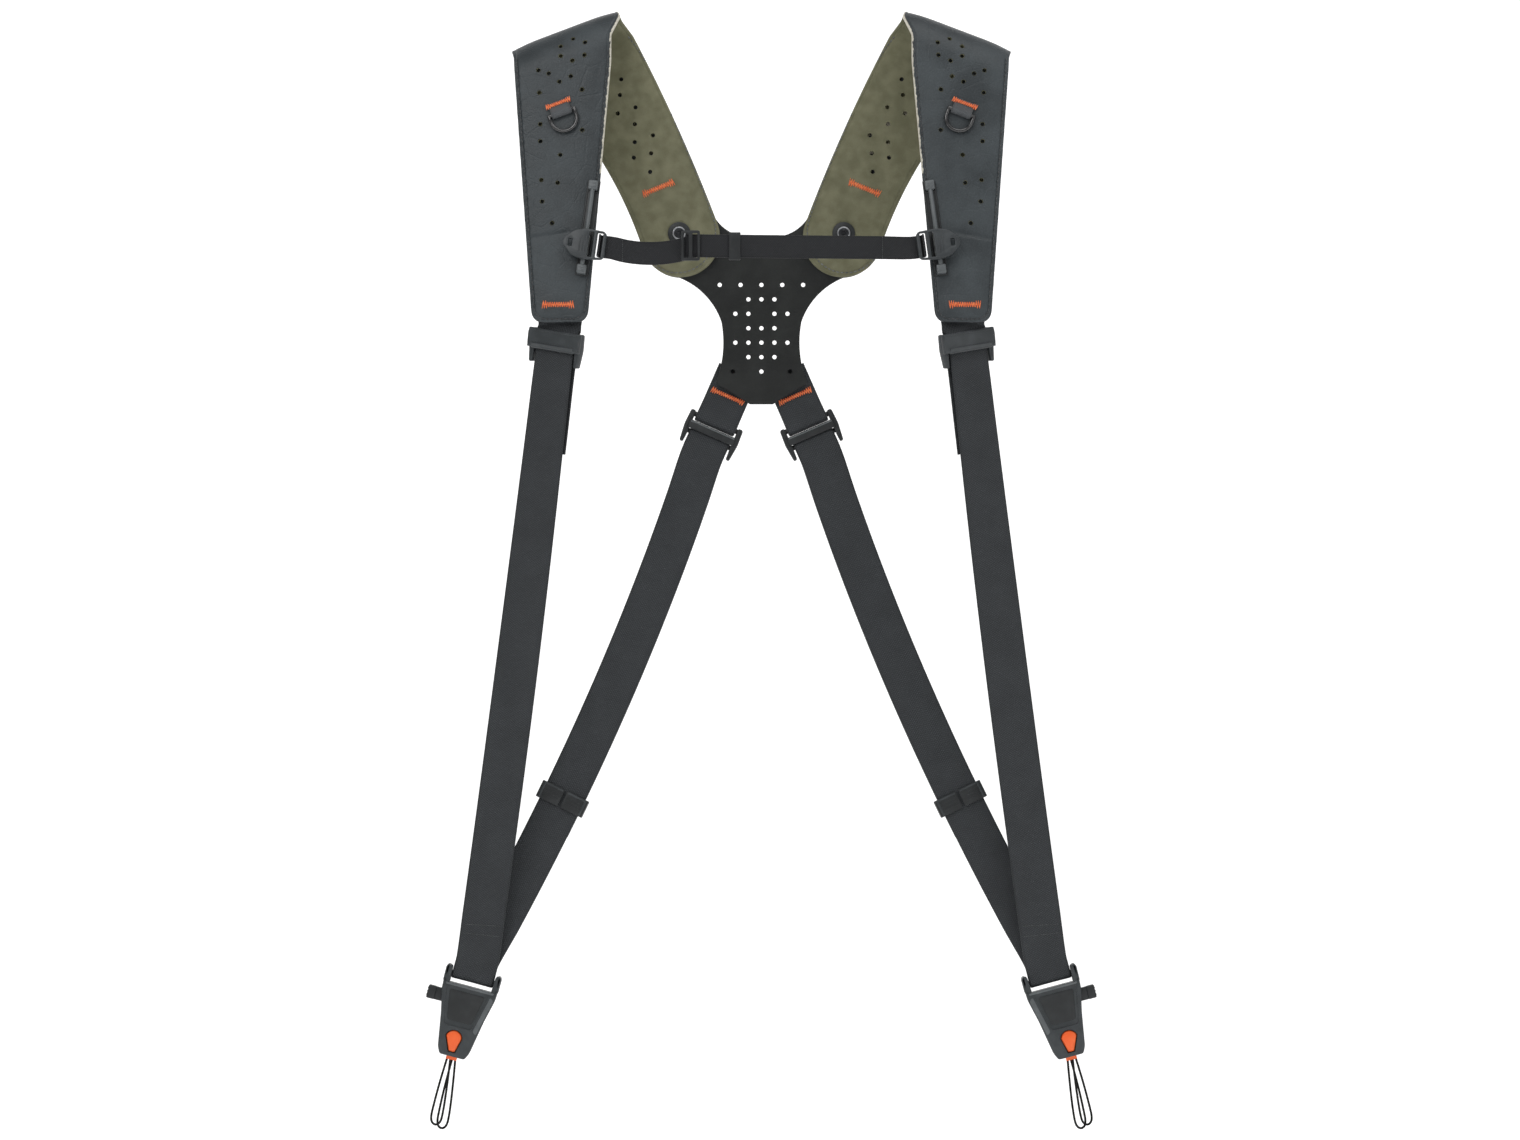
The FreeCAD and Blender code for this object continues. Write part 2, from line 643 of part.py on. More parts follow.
def make_rear_strap(word, side):
    """Tab at the yoke's bottom corner, ladder lock, and the strap with its tail."""
    bar, low = rear_bar(side), connector_bar(side)
    across, up = strap_axes(bar, low, side, 0)
    place = frame(bar, up, across)
    ladder_lock(f"{word}_rear_lock", place, "rear_cover_tall", "-(bar_radius + 3.6)", "0")
    off = num("webbing_thick / 2 + 0.1")
    front = [(bar + up * h - V(0, off, 0), across) for h in (40, 12)]
    rear = [(bar + up * h + V(0, off, 0), across) for h in (12, 40)]
    feature(f"{word}_yoke_tab", ribbon(loop_about(bar, up, across, front, rear), *webbing()))
    ladder = place.multVec(V(0, num("lock_thick / 2 - bar_radius"), -num(LADDER_DROP)))
    hook = connector_hook(side, 1, num("swing_gap"))
    below = place.multVec(V(0, ladder_front(), -num(f"{LADDER_DROP} + straight_run")))
    route = bowed(below, hook[0][0], num("rear_bow"), 10)[1:-1]
    stations = turned_top(place, ladder, across, "rear_tail", route)
    stations += [(point, across) for point in route]
    feature(f"{word}_rear_strap", ribbon(stations + hook, *webbing()))


def strap_place(side, along):
    """On the rear strap, so far along it from its bar: Z up the strap and Y to the rear."""
    bar, low = rear_bar(side), connector_bar(side)
    across, up = strap_axes(bar, low, side, 0)
    place = frame(bar, up, across)
    below = place.multVec(V(0, ladder_front(), -num(f"{LADDER_DROP} + straight_run")))
    route = bowed(below, connector_hook(side, 1, num("swing_gap"))[0][0], num("rear_bow"), 100)
    index = min(range(1, 100), key=lambda i: abs((route[i] - bar).Length - along))
    direction = (route[index - 1] - route[index + 1]).normalize()
    return frame(route[index], direction, across)


def make_strap_keeper(word, side):
    """A plastic band that slides on the rear strap and holds its tail, split down the front."""
    inner_wide = "(webbing_wide + 2 * slide_gap)"
    reach = "(bar_radius * 2 + webbing_thick + 0.3)"
    inner_deep = f"(webbing_thick + {reach} + 2 * slide_gap)"
    middle = f"{reach} / 2"
    shell = box(f"{word}_keeper_shell", (f"{inner_wide} + 2 * keeper_wall + 1.6",
                f"{inner_deep} + 2 * keeper_wall", "keeper_tall"), ("0", middle, "0"))
    tunnel = box(f"{word}_keeper_tunnel", (inner_wide, inner_deep, "keeper_tall * 2"),
                 ("0", middle, "0"))
    split = box(f"{word}_keeper_split", ("1.4", "keeper_wall * 3", "keeper_tall * 2"),
                ("0", f"-webbing_thick / 2 - slide_gap - keeper_wall", "0"))
    band = cut(f"{word}_strap_keeper", shell, fuse(f"{word}_keeper_cuts", [tunnel, split]))
    keep(band, f"{word}_strap_keeper", strap_place(side, num("keeper_along")))


# ---- connectors ----

def shell_outline():
    """The tapering body with a notch between two arms for the strap and a narrow foot."""
    notch = f"({LOCK_HALF} + 0.8)"
    half = [("connector_half", "connector_rise - 2"), ("connector_half - 1.4", "connector_rise"),
            (f"{notch}", "connector_rise"), (f"{notch}", "-6.6")]
    low = [("9", "-connector_length"), ("11.4", "-connector_length + 5"),
           ("connector_half - 4.6", "-connector_length / 2"), ("connector_half - 0.8", "-12")]
    left = [(f"-({x})", z) for x, z in half]
    return left + half[::-1] + [(x, z) for x, z in low[::-1]] + [(f"-({x})", z) for x, z in low]


def channel_outline():
    """The way out for the anchor, open at the foot."""
    half = "anchor_wide / 2 + 0.4"
    top, foot = "-connector_length / 2 - 7", "-connector_length - 5"
    return [(f"-({half})", top), (half, top), (half, foot), (f"-({half})", foot)]


def button_outline(side):
    """The way in for the side button, from its spring's seat to the outer edge."""
    low, high = "-12 - button_tall", "-12"
    return [(f"{side} * 3", low), (f"{side} * 3", high), (f"{side} * 30", high), (f"{side} * 30", low)]


def make_connector(word, side):
    """Two shells, the strap bar, the side button with its spring, and the anchor."""
    across, up = connector_axes(side)
    place = frame(connector_bar(side), up, across)
    half_anchor = "anchor_thick / 2"
    for label, facing in ((f"{word}_connector_front", True), (f"{word}_connector_back", False)):
        body = new_body(label, place)
        pad(body, draw(body, f"{label}_outline", "XZ_Plane", [shell_outline()]),
            "connector_deep", reverse=not facing)
        for name, corners in (("channel", channel_outline()), ("slide", button_outline(side))):
            pocket(body, draw(body, f"{label}_{name}", "XZ_Plane", [corners]),
                   f"({half_anchor} + 0.15) * 2", symmetric=True)
        seat = draw(body, f"{label}_seat", "YZ_Plane", [], [("0", "0", "bar_radius + fit_gap")])
        pocket(body, seat, "(connector_half - 1.6) * 2", symmetric=True)
        if facing:
            trim_front(body, label, side)
    bar = new_body(f"{word}_connector_bar", place)
    pad(bar, draw(bar, f"{word}_bar_end", "YZ_Plane", [], [("0", "0", "bar_radius")]),
        "(connector_half - 1.7) * 2", symmetric=True)
    make_button(word, side, place)
    make_anchor(word, side, place)


def trim_front(body, label, side):
    """The front shell's window over the anchor and its sunk middle between two rims."""
    window = [("-3.4", "-51"), ("-6.2", "-42"), ("6.2", "-42", ("0", "-37")), ("3.4", "-51")]
    pocket(body, draw(body, f"{label}_window", "XZ_Plane", [window]), reverse=True)
    sunk = draw(body, f"{label}_sunk", "XZ_Plane", [[
        (f"{side} * (connector_half - 3.6)", "-8.5"), (f"-{side} * (connector_half - 5.2)", "-8.5"),
        (f"-{side} * (connector_half - 11.6)", "-36"), (f"{side} * (connector_half - 8.4)", "-36")]])
    tie(sunk, **{"AttachmentOffset.Base.z": "connector_deep"})
    DOC.recompute()
    pocket(body, sunk, "1.1")


STEM_START = "(9 + button_travel / 2)"
SPRING_START = 3.2


def make_button(word, side, place):
    """A side button on a stem, and the folded leaf spring that pushes it out."""
    mid = "-12 - button_tall / 2"
    inner = "(connector_half + button_travel)"
    head = box(f"{word}_button_head", ("button_out", "anchor_thick + 1.2", "button_tall - 0.6"),
               (f"{side} * ({inner} + button_out / 2)", "0", mid))
    stem = box(f"{word}_button_stem",
               (f"{inner} - {STEM_START} + 1", "anchor_thick - 0.4", "button_tall - 1"),
               (f"{side} * ({inner} + {STEM_START} + 1) / 2", "0", mid))
    keep(fuse(f"{word}_release_button", [head, stem]), f"{word}_release_button", place)
    feature(f"{word}_button_spring", folded_leaf(side, num(f"{STEM_START} - button_travel") - 0.15, num(mid)), place)


def folded_leaf(side, outer, level):
    """A thin leaf folded three times between its seat and the pressed stem."""
    width, half_thick = num("anchor_thick - 1.2"), 0.35
    zigzag = [(SPRING_START, 3.6), (outer, 1.6), (SPRING_START, -0.4), (outer, -2.4)]
    leaves = []
    for (x1, z1), (x2, z2) in zip(zigzag, zigzag[1:]):
        corners = [V(side * x, -width / 2, z + level) for x, z in
                   ((x1, z1 - half_thick), (x1, z1 + half_thick),
                    (x2, z2 + half_thick), (x2, z2 - half_thick))]
        leaf = Part.Face(Part.makePolygon(corners + corners[:1])).extrude(V(0, width, 0))
        leaves.append(leaf)
    return leaves[0].fuse(leaves[1:]).removeSplitter()


def make_anchor(word, side, place):
    """The tongue that the cord loops hang from; it draws out of the foot of the connector."""
    body = new_body(f"{word}_anchor", place)
    half, top = "anchor_wide / 2", "-connector_length / 2 - 7.6"
    head = [(f"-({half})", f"{top} - 8"), (half, f"{top} - 8", ("0", top)), ("3.8", "-connector_length + 3"),
            ("3.8", "-connector_length - 2.5"), ("-3.8", "-connector_length - 2.5"),
            ("-3.8", "-connector_length + 3")]
    pad(body, draw(body, f"{word}_tongue", "XZ_Plane", [head]), "anchor_thick", symmetric=True)


# ---- chest strap, its rails and the D-rings ----

def make_rail(word, side):
    """A sewn base strip with two end lugs that carry a round bar."""
    place = panel_frame(side, num("rail_out"), num("rail_drop"), num("rail_turn"))
    stand = "rail_stand"
    base = box(f"{word}_rail_base", ("rail_wide", "1.2", "rail_length"), ("0", "-0.6", "0"))
    lugs = [box(f"{word}_rail_lug_{i}", ("6.4", f"{stand} + 2", "6.5"),
                ("0", f"-({stand} + 2) / 2", f"{i} * (rail_length / 2 - 4)")) for i in (-1, 1)]
    bar = rod(f"{word}_rail_bar", "z", "rail_bar_radius", "rail_length - 8", ("0", f"-({stand})", "0"))
    keep(fuse(f"{word}_sternum_rail", [base, bar] + lugs), f"{word}_sternum_rail", place)


def clip_place(side):
    place = panel_frame(side, num("rail_out"), num("rail_drop"), num("rail_turn"))
    return place * FreeCAD.Placement(V(0, 0, -num("clip_along")), FreeCAD.Rotation())


def make_clip(word, side):
    """A hooked plate on a sleeve that slides along the rail, with a slot for the chest strap."""
    body = new_body(f"{word}_sternum_clip", clip_place(side))
    half, tall = "clip_long / 2", "clip_tall / 2"
    outer = [("2.0", half), (f"{tall} - 2", f"{half} - 7"), (tall, "0"), (f"{tall} - 1", f"-({half}) + 2"),
             (f"{tall} - 3", f"-({half})")]
    outline = [(f"{side} * ({x})", z) for z, x in outer]
    outline += [(f"{side} * ({x})", f"-({z})") for z, x in outer[::-1]]
    slots = [slot(side, f"-({half}) + end_bar", f"-({half}) + end_bar + 3.9", f"{tall} - clip_rim"),
             slot(side, f"-({half}) + 9", f"-({half}) + 12", f"{tall} - clip_rim"),
             slot(side, f"{half} - 6.5", f"{half} - 4", "2.6")]
    sketch = draw(body, f"{word}_clip_plate", "XZ_Plane", [outline] + slots)
    tie(sketch, **{"AttachmentOffset.Base.z": "clip_lift"})
    pad(body, sketch, "clip_thick")
    sleeve = draw(body, f"{word}_clip_sleeve", "XY_Plane", [],
                  [("0", "-rail_stand", "rail_bar_radius + 1.5")])
    pad(body, sleeve, "clip_tall * 0.6", symmetric=True)
    bore = draw(body, f"{word}_clip_bore", "XY_Plane", [], [("0", "-rail_stand", "rail_bar_radius + running_gap")])
    pocket(body, bore, "clip_tall * 2", symmetric=True)


def slot(side, start, end, half):
    """A rectangular slot between two distances out, so high each way."""
    return [(f"{side} * ({start})", f"-({half})"), (f"{side} * ({end})", f"-({half})"),
            (f"{side} * ({end})", half), (f"{side} * ({start})", half)]


def make_chest_strap(word, side):
    """Half of the chest strap, from its turn round the clip's end bar towards the middle."""
    clip = clip_place(side)
    turn = [(clip.multVec(V(-side * out, y, 0)), clip.Rotation.multVec(V(0, 0, 1)))
            for out, y in chest_turn()]
    level = V(0, 0, 1)
    run = chest_run(side)
    feature(f"{word}_chest_strap", ribbon(turn + [(p, level) for p in run[1:]],
                                          num("chest_wide"), num("chest_thick")))


def chest_turn():
    """(inward, depth) of the strap's path through the clip's slot and behind its end bar."""
    slot_middle = num("clip_long / 2 - end_bar") - 1.95
    behind = -num("clip_lift - chest_thick / 2") + 0.5
    return [(slot_middle - 0.2, -num("clip_lift + clip_thick")), (slot_middle - 0.2, behind - 1.4),
            (slot_middle + 0.85, behind - 0.15), (slot_middle + 2.6, behind), (slot_middle + 9, behind)]


def chest_run(side):
    """Middles of the strap from the end of its turn to the slider."""
    out, y = chest_turn()[-1]
    start = clip_place(side).multVec(V(-side * out, y, 0))
    sag = num("chest_sag") if side < 0 else 0
    return bowed_down(start, glide_point(side), sag, 8)


def bowed_down(start, end, sag, steps):
    line = end - start
    return [start + line * t - V(0, 0, sag * 4 * t * (1 - t)) for t in
            (i / steps for i in range(steps + 1))]


def glide_point(side):
    """Where each half of the chest strap ends, at the slider off the middle."""
    level = (clip_place(-1).Base + clip_place(1).Base) * 0.5
    depth = level.y - num("clip_lift + clip_thick / 2 + 2")
    step = num("chest_thick") + 0.7 if side < 0 else 0
    return V(-num("glide_out") - side * 3, depth + step, level.z)


def ring_place(side):
    """At the D-ring's straight bar, along the fold and clear of the panel."""
    lift = num("ring_tab_thick + ring_wire + 0.75")
    return panel_frame(side, num("ring_out"), num("ring_drop"), lift=lift)


def make_ring(word, side):
    """A D-shaped wire ring and the webbing tab that its bar turns in."""
    radius, wire, straight = num("ring_radius"), num("ring_wire"), num("ring_straight")
    bar = Part.makeCylinder(wire, 2 * radius, V(-radius, 0, 0), V(1, 0, 0))
    parts = [Part.makeCylinder(wire, straight, V(x, 0, -straight), V(0, 0, 1)) for x in (-radius, radius)]
    parts += [Part.makeSphere(wire, V(x, 0, 0)) for x in (-radius, radius)]
    bow = Part.makeTorus(radius, wire, V(0, 0, -straight), V(0, 1, 0), 0, 360, 360)
    half = Part.makeBox(4 * radius, 4 * radius, 2 * radius, V(-2 * radius, -2 * radius, -2 * radius - straight))
    ring = bar.fuse(parts + [bow.common(half)]).removeSplitter()
    place = ring_place(side)
    feature(f"{word}_dring", ring, place)
    thick = num("ring_tab_thick")
    lift = wire + 0.4 + thick / 2
    back = wire + 0.75 + thick / 2
    across = V(1, 0, 0)
    arc = around(V(), V(0, lift, 0), V(0, 0, -1), 180)
    points = [V(0, back, 9), V(0, back, 3)] + arc + [V(0, back - thick - 0.15, 6), V(0, back - thick - 0.15, 9)]
    tab = ribbon([(p, across) for p in points], num("ring_tab_wide"), thick)
    feature(f"{word}_dring_tab", tab, place)


# ---- cord loops ----

# Each loop's route below the anchor, as (out, height) from the middle of its lower end: down one
# strand, round the bottom and up the other. The first loop hangs in front of the second.
CORD_LOOPS = {
    "a": (-1.35, [(2.9, 0.4), (3.3, -8.0), (3.6, -22.0), (3.5, -35.0), (3.3, -41.5), (1.8, -45.6),
                  (-1.6, -46.8), (-4.2, -44.0), (-4.3, -38.6), (-3.2, -27.0), (-0.9, -9.0),
                  (0.6, 0.4)]),
    "b": (1.35, [(-0.6, 0.4), (-0.5, -9.0), (-0.6, -24.0), (-1.2, -37.0), (-1.6, -43.4),
                 (-3.2, -47.4), (-6.6, -48.4), (-9.0, -45.4), (-9.0, -39.8), (-7.6, -28.0),
                 (-4.6, -9.0), (-2.9, 0.4)]),
}


def rounded_path(points):
    """Straight runs joined by tangent arcs; prints the smallest radius."""
    edges, radii = [], []
    start = points[0]
    for i in range(1, len(points) - 1):
        before, after = points[i] - points[i - 1], points[i + 1] - points[i]
        turn = before.getAngle(after)
        run = 0.45 * min(before.Length, after.Length)
        radii.append(run / math.tan(turn / 2))
        before.normalize()
        after.normalize()
        enter, leave = points[i] - before * run, points[i] + after * run
        middle = points[i] + (after - before).normalize() * radii[-1] * (1 / math.cos(turn / 2) - 1)
        edges.append(Part.LineSegment(start, enter).toShape())
        edges.append(Part.Arc(enter, middle, leave).toShape())
        start = leave
    edges.append(Part.LineSegment(start, points[-1]).toShape())
    return Part.Wire(edges), radii


def make_cords(word, side):
    """The two cord loops that hang from the anchor."""
    across, up = connector_axes(side)
    place = frame(connector_bar(side), up, across)
    foot = -num("connector_length") - 2.9
    radius = num("cord_radius")
    for letter, (depth, route) in CORD_LOOPS.items():
        points = [V(side * out, depth, foot + height) for out, height in route]
        path, radii = rounded_path(points)
        ring = Part.Wire(Part.makeCircle(radius, points[0], points[1] - points[0]))
        cord = path.makePipeShell([ring], True, False)
        expected = math.pi * radius ** 2 * path.Length
        feature(f"{word}_cord_loop_{letter}", cord, place)
        print(f"{word} loop {letter}: {path.Length:.1f} mm, radii {[round(r, 1) for r in radii]}, "
              f"volume {cord.Volume:.1f} against {expected:.1f}")


# ---- chest slider and keeper ----

def make_chest_slider():
    """A two-slot slider at the end of the first half, and a plain band round the second."""
    right_end = glide_point(1)
    middle = V(-num("glide_out"), right_end.y - num("chest_thick / 2") - 1.4, right_end.z)
    long, tall = "glide_long", "(chest_wide + 5)"
    blank = box("slider_blank", (long, "2.0", tall), ("0", "0", "0"))
    slots = [box(f"slider_slot_{i}", ("3.4", "5", "chest_wide + 1"), (f"{i} * (glide_long / 4 - 0.2)", "0", "0"))
             for i in (-1, 1)]
    keep(cut("chest_slider", blank, fuse("slider_slots", slots)), "chest_slider",
         FreeCAD.Placement(middle, FreeCAD.Rotation()))
    shell = box("chest_band_shell", ("8", "chest_thick + 2.4", "chest_wide + 3.2"), ("0", "0", "0"))
    tunnel = box("chest_band_tunnel", ("20", "chest_thick + 0.6", "chest_wide + 0.8"), ("0", "0", "0"))
    run = chest_run(1)
    share = (run[0].x + num("chest_keeper_out")) / (run[0].x - run[-1].x)
    at = run[0] + (run[-1] - run[0]) * share
    keep(cut("chest_keeper", shell, tunnel), "chest_keeper", frame(at, V(0, 0, 1), run[0] - run[-1]))


PIECE_MAKERS = [make_pad, make_front_strap, make_rear_strap, make_strap_keeper, make_connector,
                make_rail, make_clip, make_chest_strap, make_ring, make_cords]


def check_piece(thing):
    """Stops the build on a failed or empty piece."""
    shape = thing.Shape
    if {"Invalid", "Error"} & set(thing.State) or shape.isNull() or not shape.isValid():
        raise RuntimeError(f"{thing.Label} is not a sound solid: {thing.State}")
    if not shape.Solids:
        raise RuntimeError(f"{thing.Label} holds no solid")


def write_pieces():
    DOC.recompute()
    for thing in DOC.Objects:
        if {"Invalid", "Error"} & set(thing.State):
            raise RuntimeError(f"{thing.Label} failed: {thing.State}")
    for thing in PIECES:
        check_piece(thing)
    os.makedirs(OUT, exist_ok=True)
    for thing in PIECES:
        thing.Shape.exportStep(f"{OUT}/{thing.Label}.step")
        print(f"{thing.Label}: {len(thing.Shape.Solids)} solid(s), {thing.Shape.Volume:.1f} mm3")


fill_sheet()
make_yoke()
make_pivots()
make_chest_slider()
for word, side in SIDES.items():
    for make in PIECE_MAKERS:
        make(word, side)
write_pieces()
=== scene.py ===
"""Looks for a two-shoulder carrying harness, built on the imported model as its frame.

Lengths are worked out in millimetres, as in the model's own source, and turned to metres when a
piece is finished. +X is the wearer's left, -Y the front and +Z up.
"""
from __future__ import annotations

import logging
import math
from dataclasses import dataclass, field
from enum import Enum
from typing import Callable, Iterable, Sequence

import bmesh
import bpy
from bpy.types import Material, Mesh, NodeSocket, Object
from mathutils import Matrix, Vector
from mathutils.bvhtree import BVHTree
from mathutils.kdtree import KDTree

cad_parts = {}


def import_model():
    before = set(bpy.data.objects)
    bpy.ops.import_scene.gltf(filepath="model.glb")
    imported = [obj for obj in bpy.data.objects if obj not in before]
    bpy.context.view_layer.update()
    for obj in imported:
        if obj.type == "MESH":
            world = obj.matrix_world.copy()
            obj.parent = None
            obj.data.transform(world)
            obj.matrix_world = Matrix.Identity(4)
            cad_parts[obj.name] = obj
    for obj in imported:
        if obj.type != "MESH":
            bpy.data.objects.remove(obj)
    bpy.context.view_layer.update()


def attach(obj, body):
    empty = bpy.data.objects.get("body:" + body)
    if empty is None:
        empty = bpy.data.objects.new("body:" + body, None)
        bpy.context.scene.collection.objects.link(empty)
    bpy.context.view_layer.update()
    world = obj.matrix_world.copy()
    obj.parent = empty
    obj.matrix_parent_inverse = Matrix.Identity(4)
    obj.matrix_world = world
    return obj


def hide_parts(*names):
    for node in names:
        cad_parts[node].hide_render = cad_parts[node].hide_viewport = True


MM = 0.001
AS_BUILT = Matrix.Identity(4)
LOG = logging.getLogger("harness")
Station = tuple[Vector, Vector]
Pair = tuple[float, float]
Colour = tuple[float, float, float]
Number = NodeSocket | float


class Side(Enum):
    """The two sides of the harness, with the sign of their X."""

    LEFT = ("left", -1)
    RIGHT = ("right", 1)

    @property
    def word(self) -> str:
        """The side's name as the nodes and bodies use it."""
        return self.value[0]

    @property
    def sign(self) -> int:
        """-1 on the left of the view and 1 on the right."""
        return self.value[1]


class Way(Enum):
    """Directions in which a rod may lie."""

    ACROSS = Matrix.Rotation(math.pi / 2, 4, "Y")
    DEEP = Matrix.Rotation(math.pi / 2, 4, "X")
    UP = Matrix.Identity(4)


def frame_at(origin: Vector, up: Vector, across: Vector) -> Matrix:
    """Makes a placement from two directions.

    Args:
        origin: Where the frame's origin goes.
        up: The direction of its Z.
        across: A direction near its X.

    Returns:
        The placement's matrix.
    """
    z = up.normalized()
    x = (across - z * across.dot(z)).normalized()
    placement = Matrix((x, z.cross(x), z)).transposed().to_4x4()
    placement.translation = origin
    return placement


@dataclass(frozen=True)
class Layout:
    """Where the harness's pieces lie, in the model's own sizes."""

    fold_out: float = 175.4
    fold_slope: float = math.radians(20.7)
    fold_radius: float = 20.0
    pad_thick: float = 5.2
    lean: float = math.radians(10)
    front_length: float = 193.0
    front_middle: float = 139.7
    yoke_thick: float = 2.4
    webbing: float = 1.5
    webbing_wide: float = 30.0
    bar: float = 1.8
    loop_gap: float = 1.1
    loop_rise: float = 2.2
    ladder_drop: float = 12.4
    ladder_back: float = 1.2
    turn_gap: float = 0.15
    straight_run: float = 14.0
    front_bar_at: Pair = (141.0, 200.5)
    rear_bar_at: Pair = (32.0, 260.0)
    rail_at: Pair = (120.4, 127.0)
    rail_swing: float = math.radians(7.6)
    clip_down: float = 13.0
    ring_at: Pair = (139.0, 46.0)
    ring_lift: float = 3.3
    connector: tuple[float, float] = (202.4, 650.0)
    tilt: float = math.radians(15)

    @property
    def yoke_front(self) -> float:
        """Depth of the yoke's front face."""
        return self.fold_radius + self.pad_thick + 0.4

    def fold_axes(self, side: int) -> tuple[Vector, Vector]:
        """Directions along the fold to the neck, and up from the fold."""
        sine, cosine = math.sin(self.fold_slope), math.cos(self.fold_slope)
        return Vector((-side * cosine, 0, sine)), Vector((side * sine, 0, cosine))

    def panel_point(self, side: int, out: float, drop: float) -> Vector:
        """A point of the front panel's outer face, so far out and down."""
        upward = self.fold_axes(side)[1]
        radius = self.fold_radius + self.pad_thick
        depth = -Vector((side * (out - self.fold_out), 0, -drop)).dot(upward)
        bend = depth - radius * (1 - math.sin(self.lean))
        return Vector((side * out, -radius * math.cos(self.lean) - math.tan(self.lean) * bend, -drop))

    def panel_axes(self, side: int) -> tuple[Vector, Vector, Vector]:
        """Directions across, up and outward on the front panel."""
        neckward, upward = self.fold_axes(side)
        across = neckward * -side
        up = upward * math.cos(self.lean) + Vector((0, math.sin(self.lean), 0))
        outward = across.cross(up)
        return across, up, outward if outward.y < 0 else -outward

    def panel_frame(self, side: int, out: float, drop: float, swing: float | None = None,
                    lift: float = 0.0) -> Matrix:
        """A placement on the front panel.

        Args:
            side: The side's sign.
            out: Distance from the middle plane.
            drop: Distance down.
            swing: How far its lower end stands out from the vertical; along the fold if None.
            lift: Height above the panel.

        Returns:
            The placement, with -Y outward.
        """
        across, up, outward = self.panel_axes(side)
        origin = self.panel_point(side, out, drop) + outward * lift
        if swing is None:
            return frame_at(origin, up, across)
        top = self.panel_point(side, out - math.sin(swing), drop - math.cos(swing)) + outward * lift
        return frame_at(origin, top - origin, across)

    def front_bar(self, side: int) -> Vector:
        """The middle of the front ladder lock's top bar."""
        behind = self.pad_thick / math.cos(self.lean) + self.bar + self.loop_gap + self.webbing
        return self.panel_point(side, *self.front_bar_at) + Vector((0, behind, 0))

    def rear_bar(self, side: int) -> Vector:
        """The middle of the rear ladder lock's top bar."""
        out, drop = self.rear_bar_at
        return Vector((side * out, self.yoke_front + self.yoke_thick + self.webbing + 0.25, -drop))

    @property
    def reach(self) -> float:
        """Distance from a bar's middle to the middle of a strap that turns round it."""
        return self.bar + self.webbing / 2 + self.turn_gap

    def connector_frame(self, side: int) -> Matrix:
        """The tilted frame at the connector's strap bar."""
        sine, cosine = math.sin(self.tilt), math.cos(self.tilt)
        return frame_at(Vector((side * self.connector[0], 0, -self.connector[1])),
                        Vector((-side * sine, 0, cosine)), Vector((cosine, 0, side * sine)))

    def lock_frame(self, side: int, bar: Vector, turn: float) -> Matrix:
        """The frame of a ladder lock whose strap hangs to the connector and faces out by turn."""
        up = (bar - self.connector_frame(side).translation).normalized()
        level = Vector((math.cos(turn), side * math.sin(turn), 0))
        return frame_at(bar, up, level)

    def rail_frame(self, side: int) -> Matrix:
        """The frame at the middle of the sternum rail."""
        return self.panel_frame(side, *self.rail_at, self.rail_swing)

    def clip_frame(self, side: int) -> Matrix:
        """The frame of the sternum clip on its rail."""
        return self.rail_frame(side) @ Matrix.Translation((0, 0, -self.clip_down))


PLAN = Layout()


# ---- finishes ----

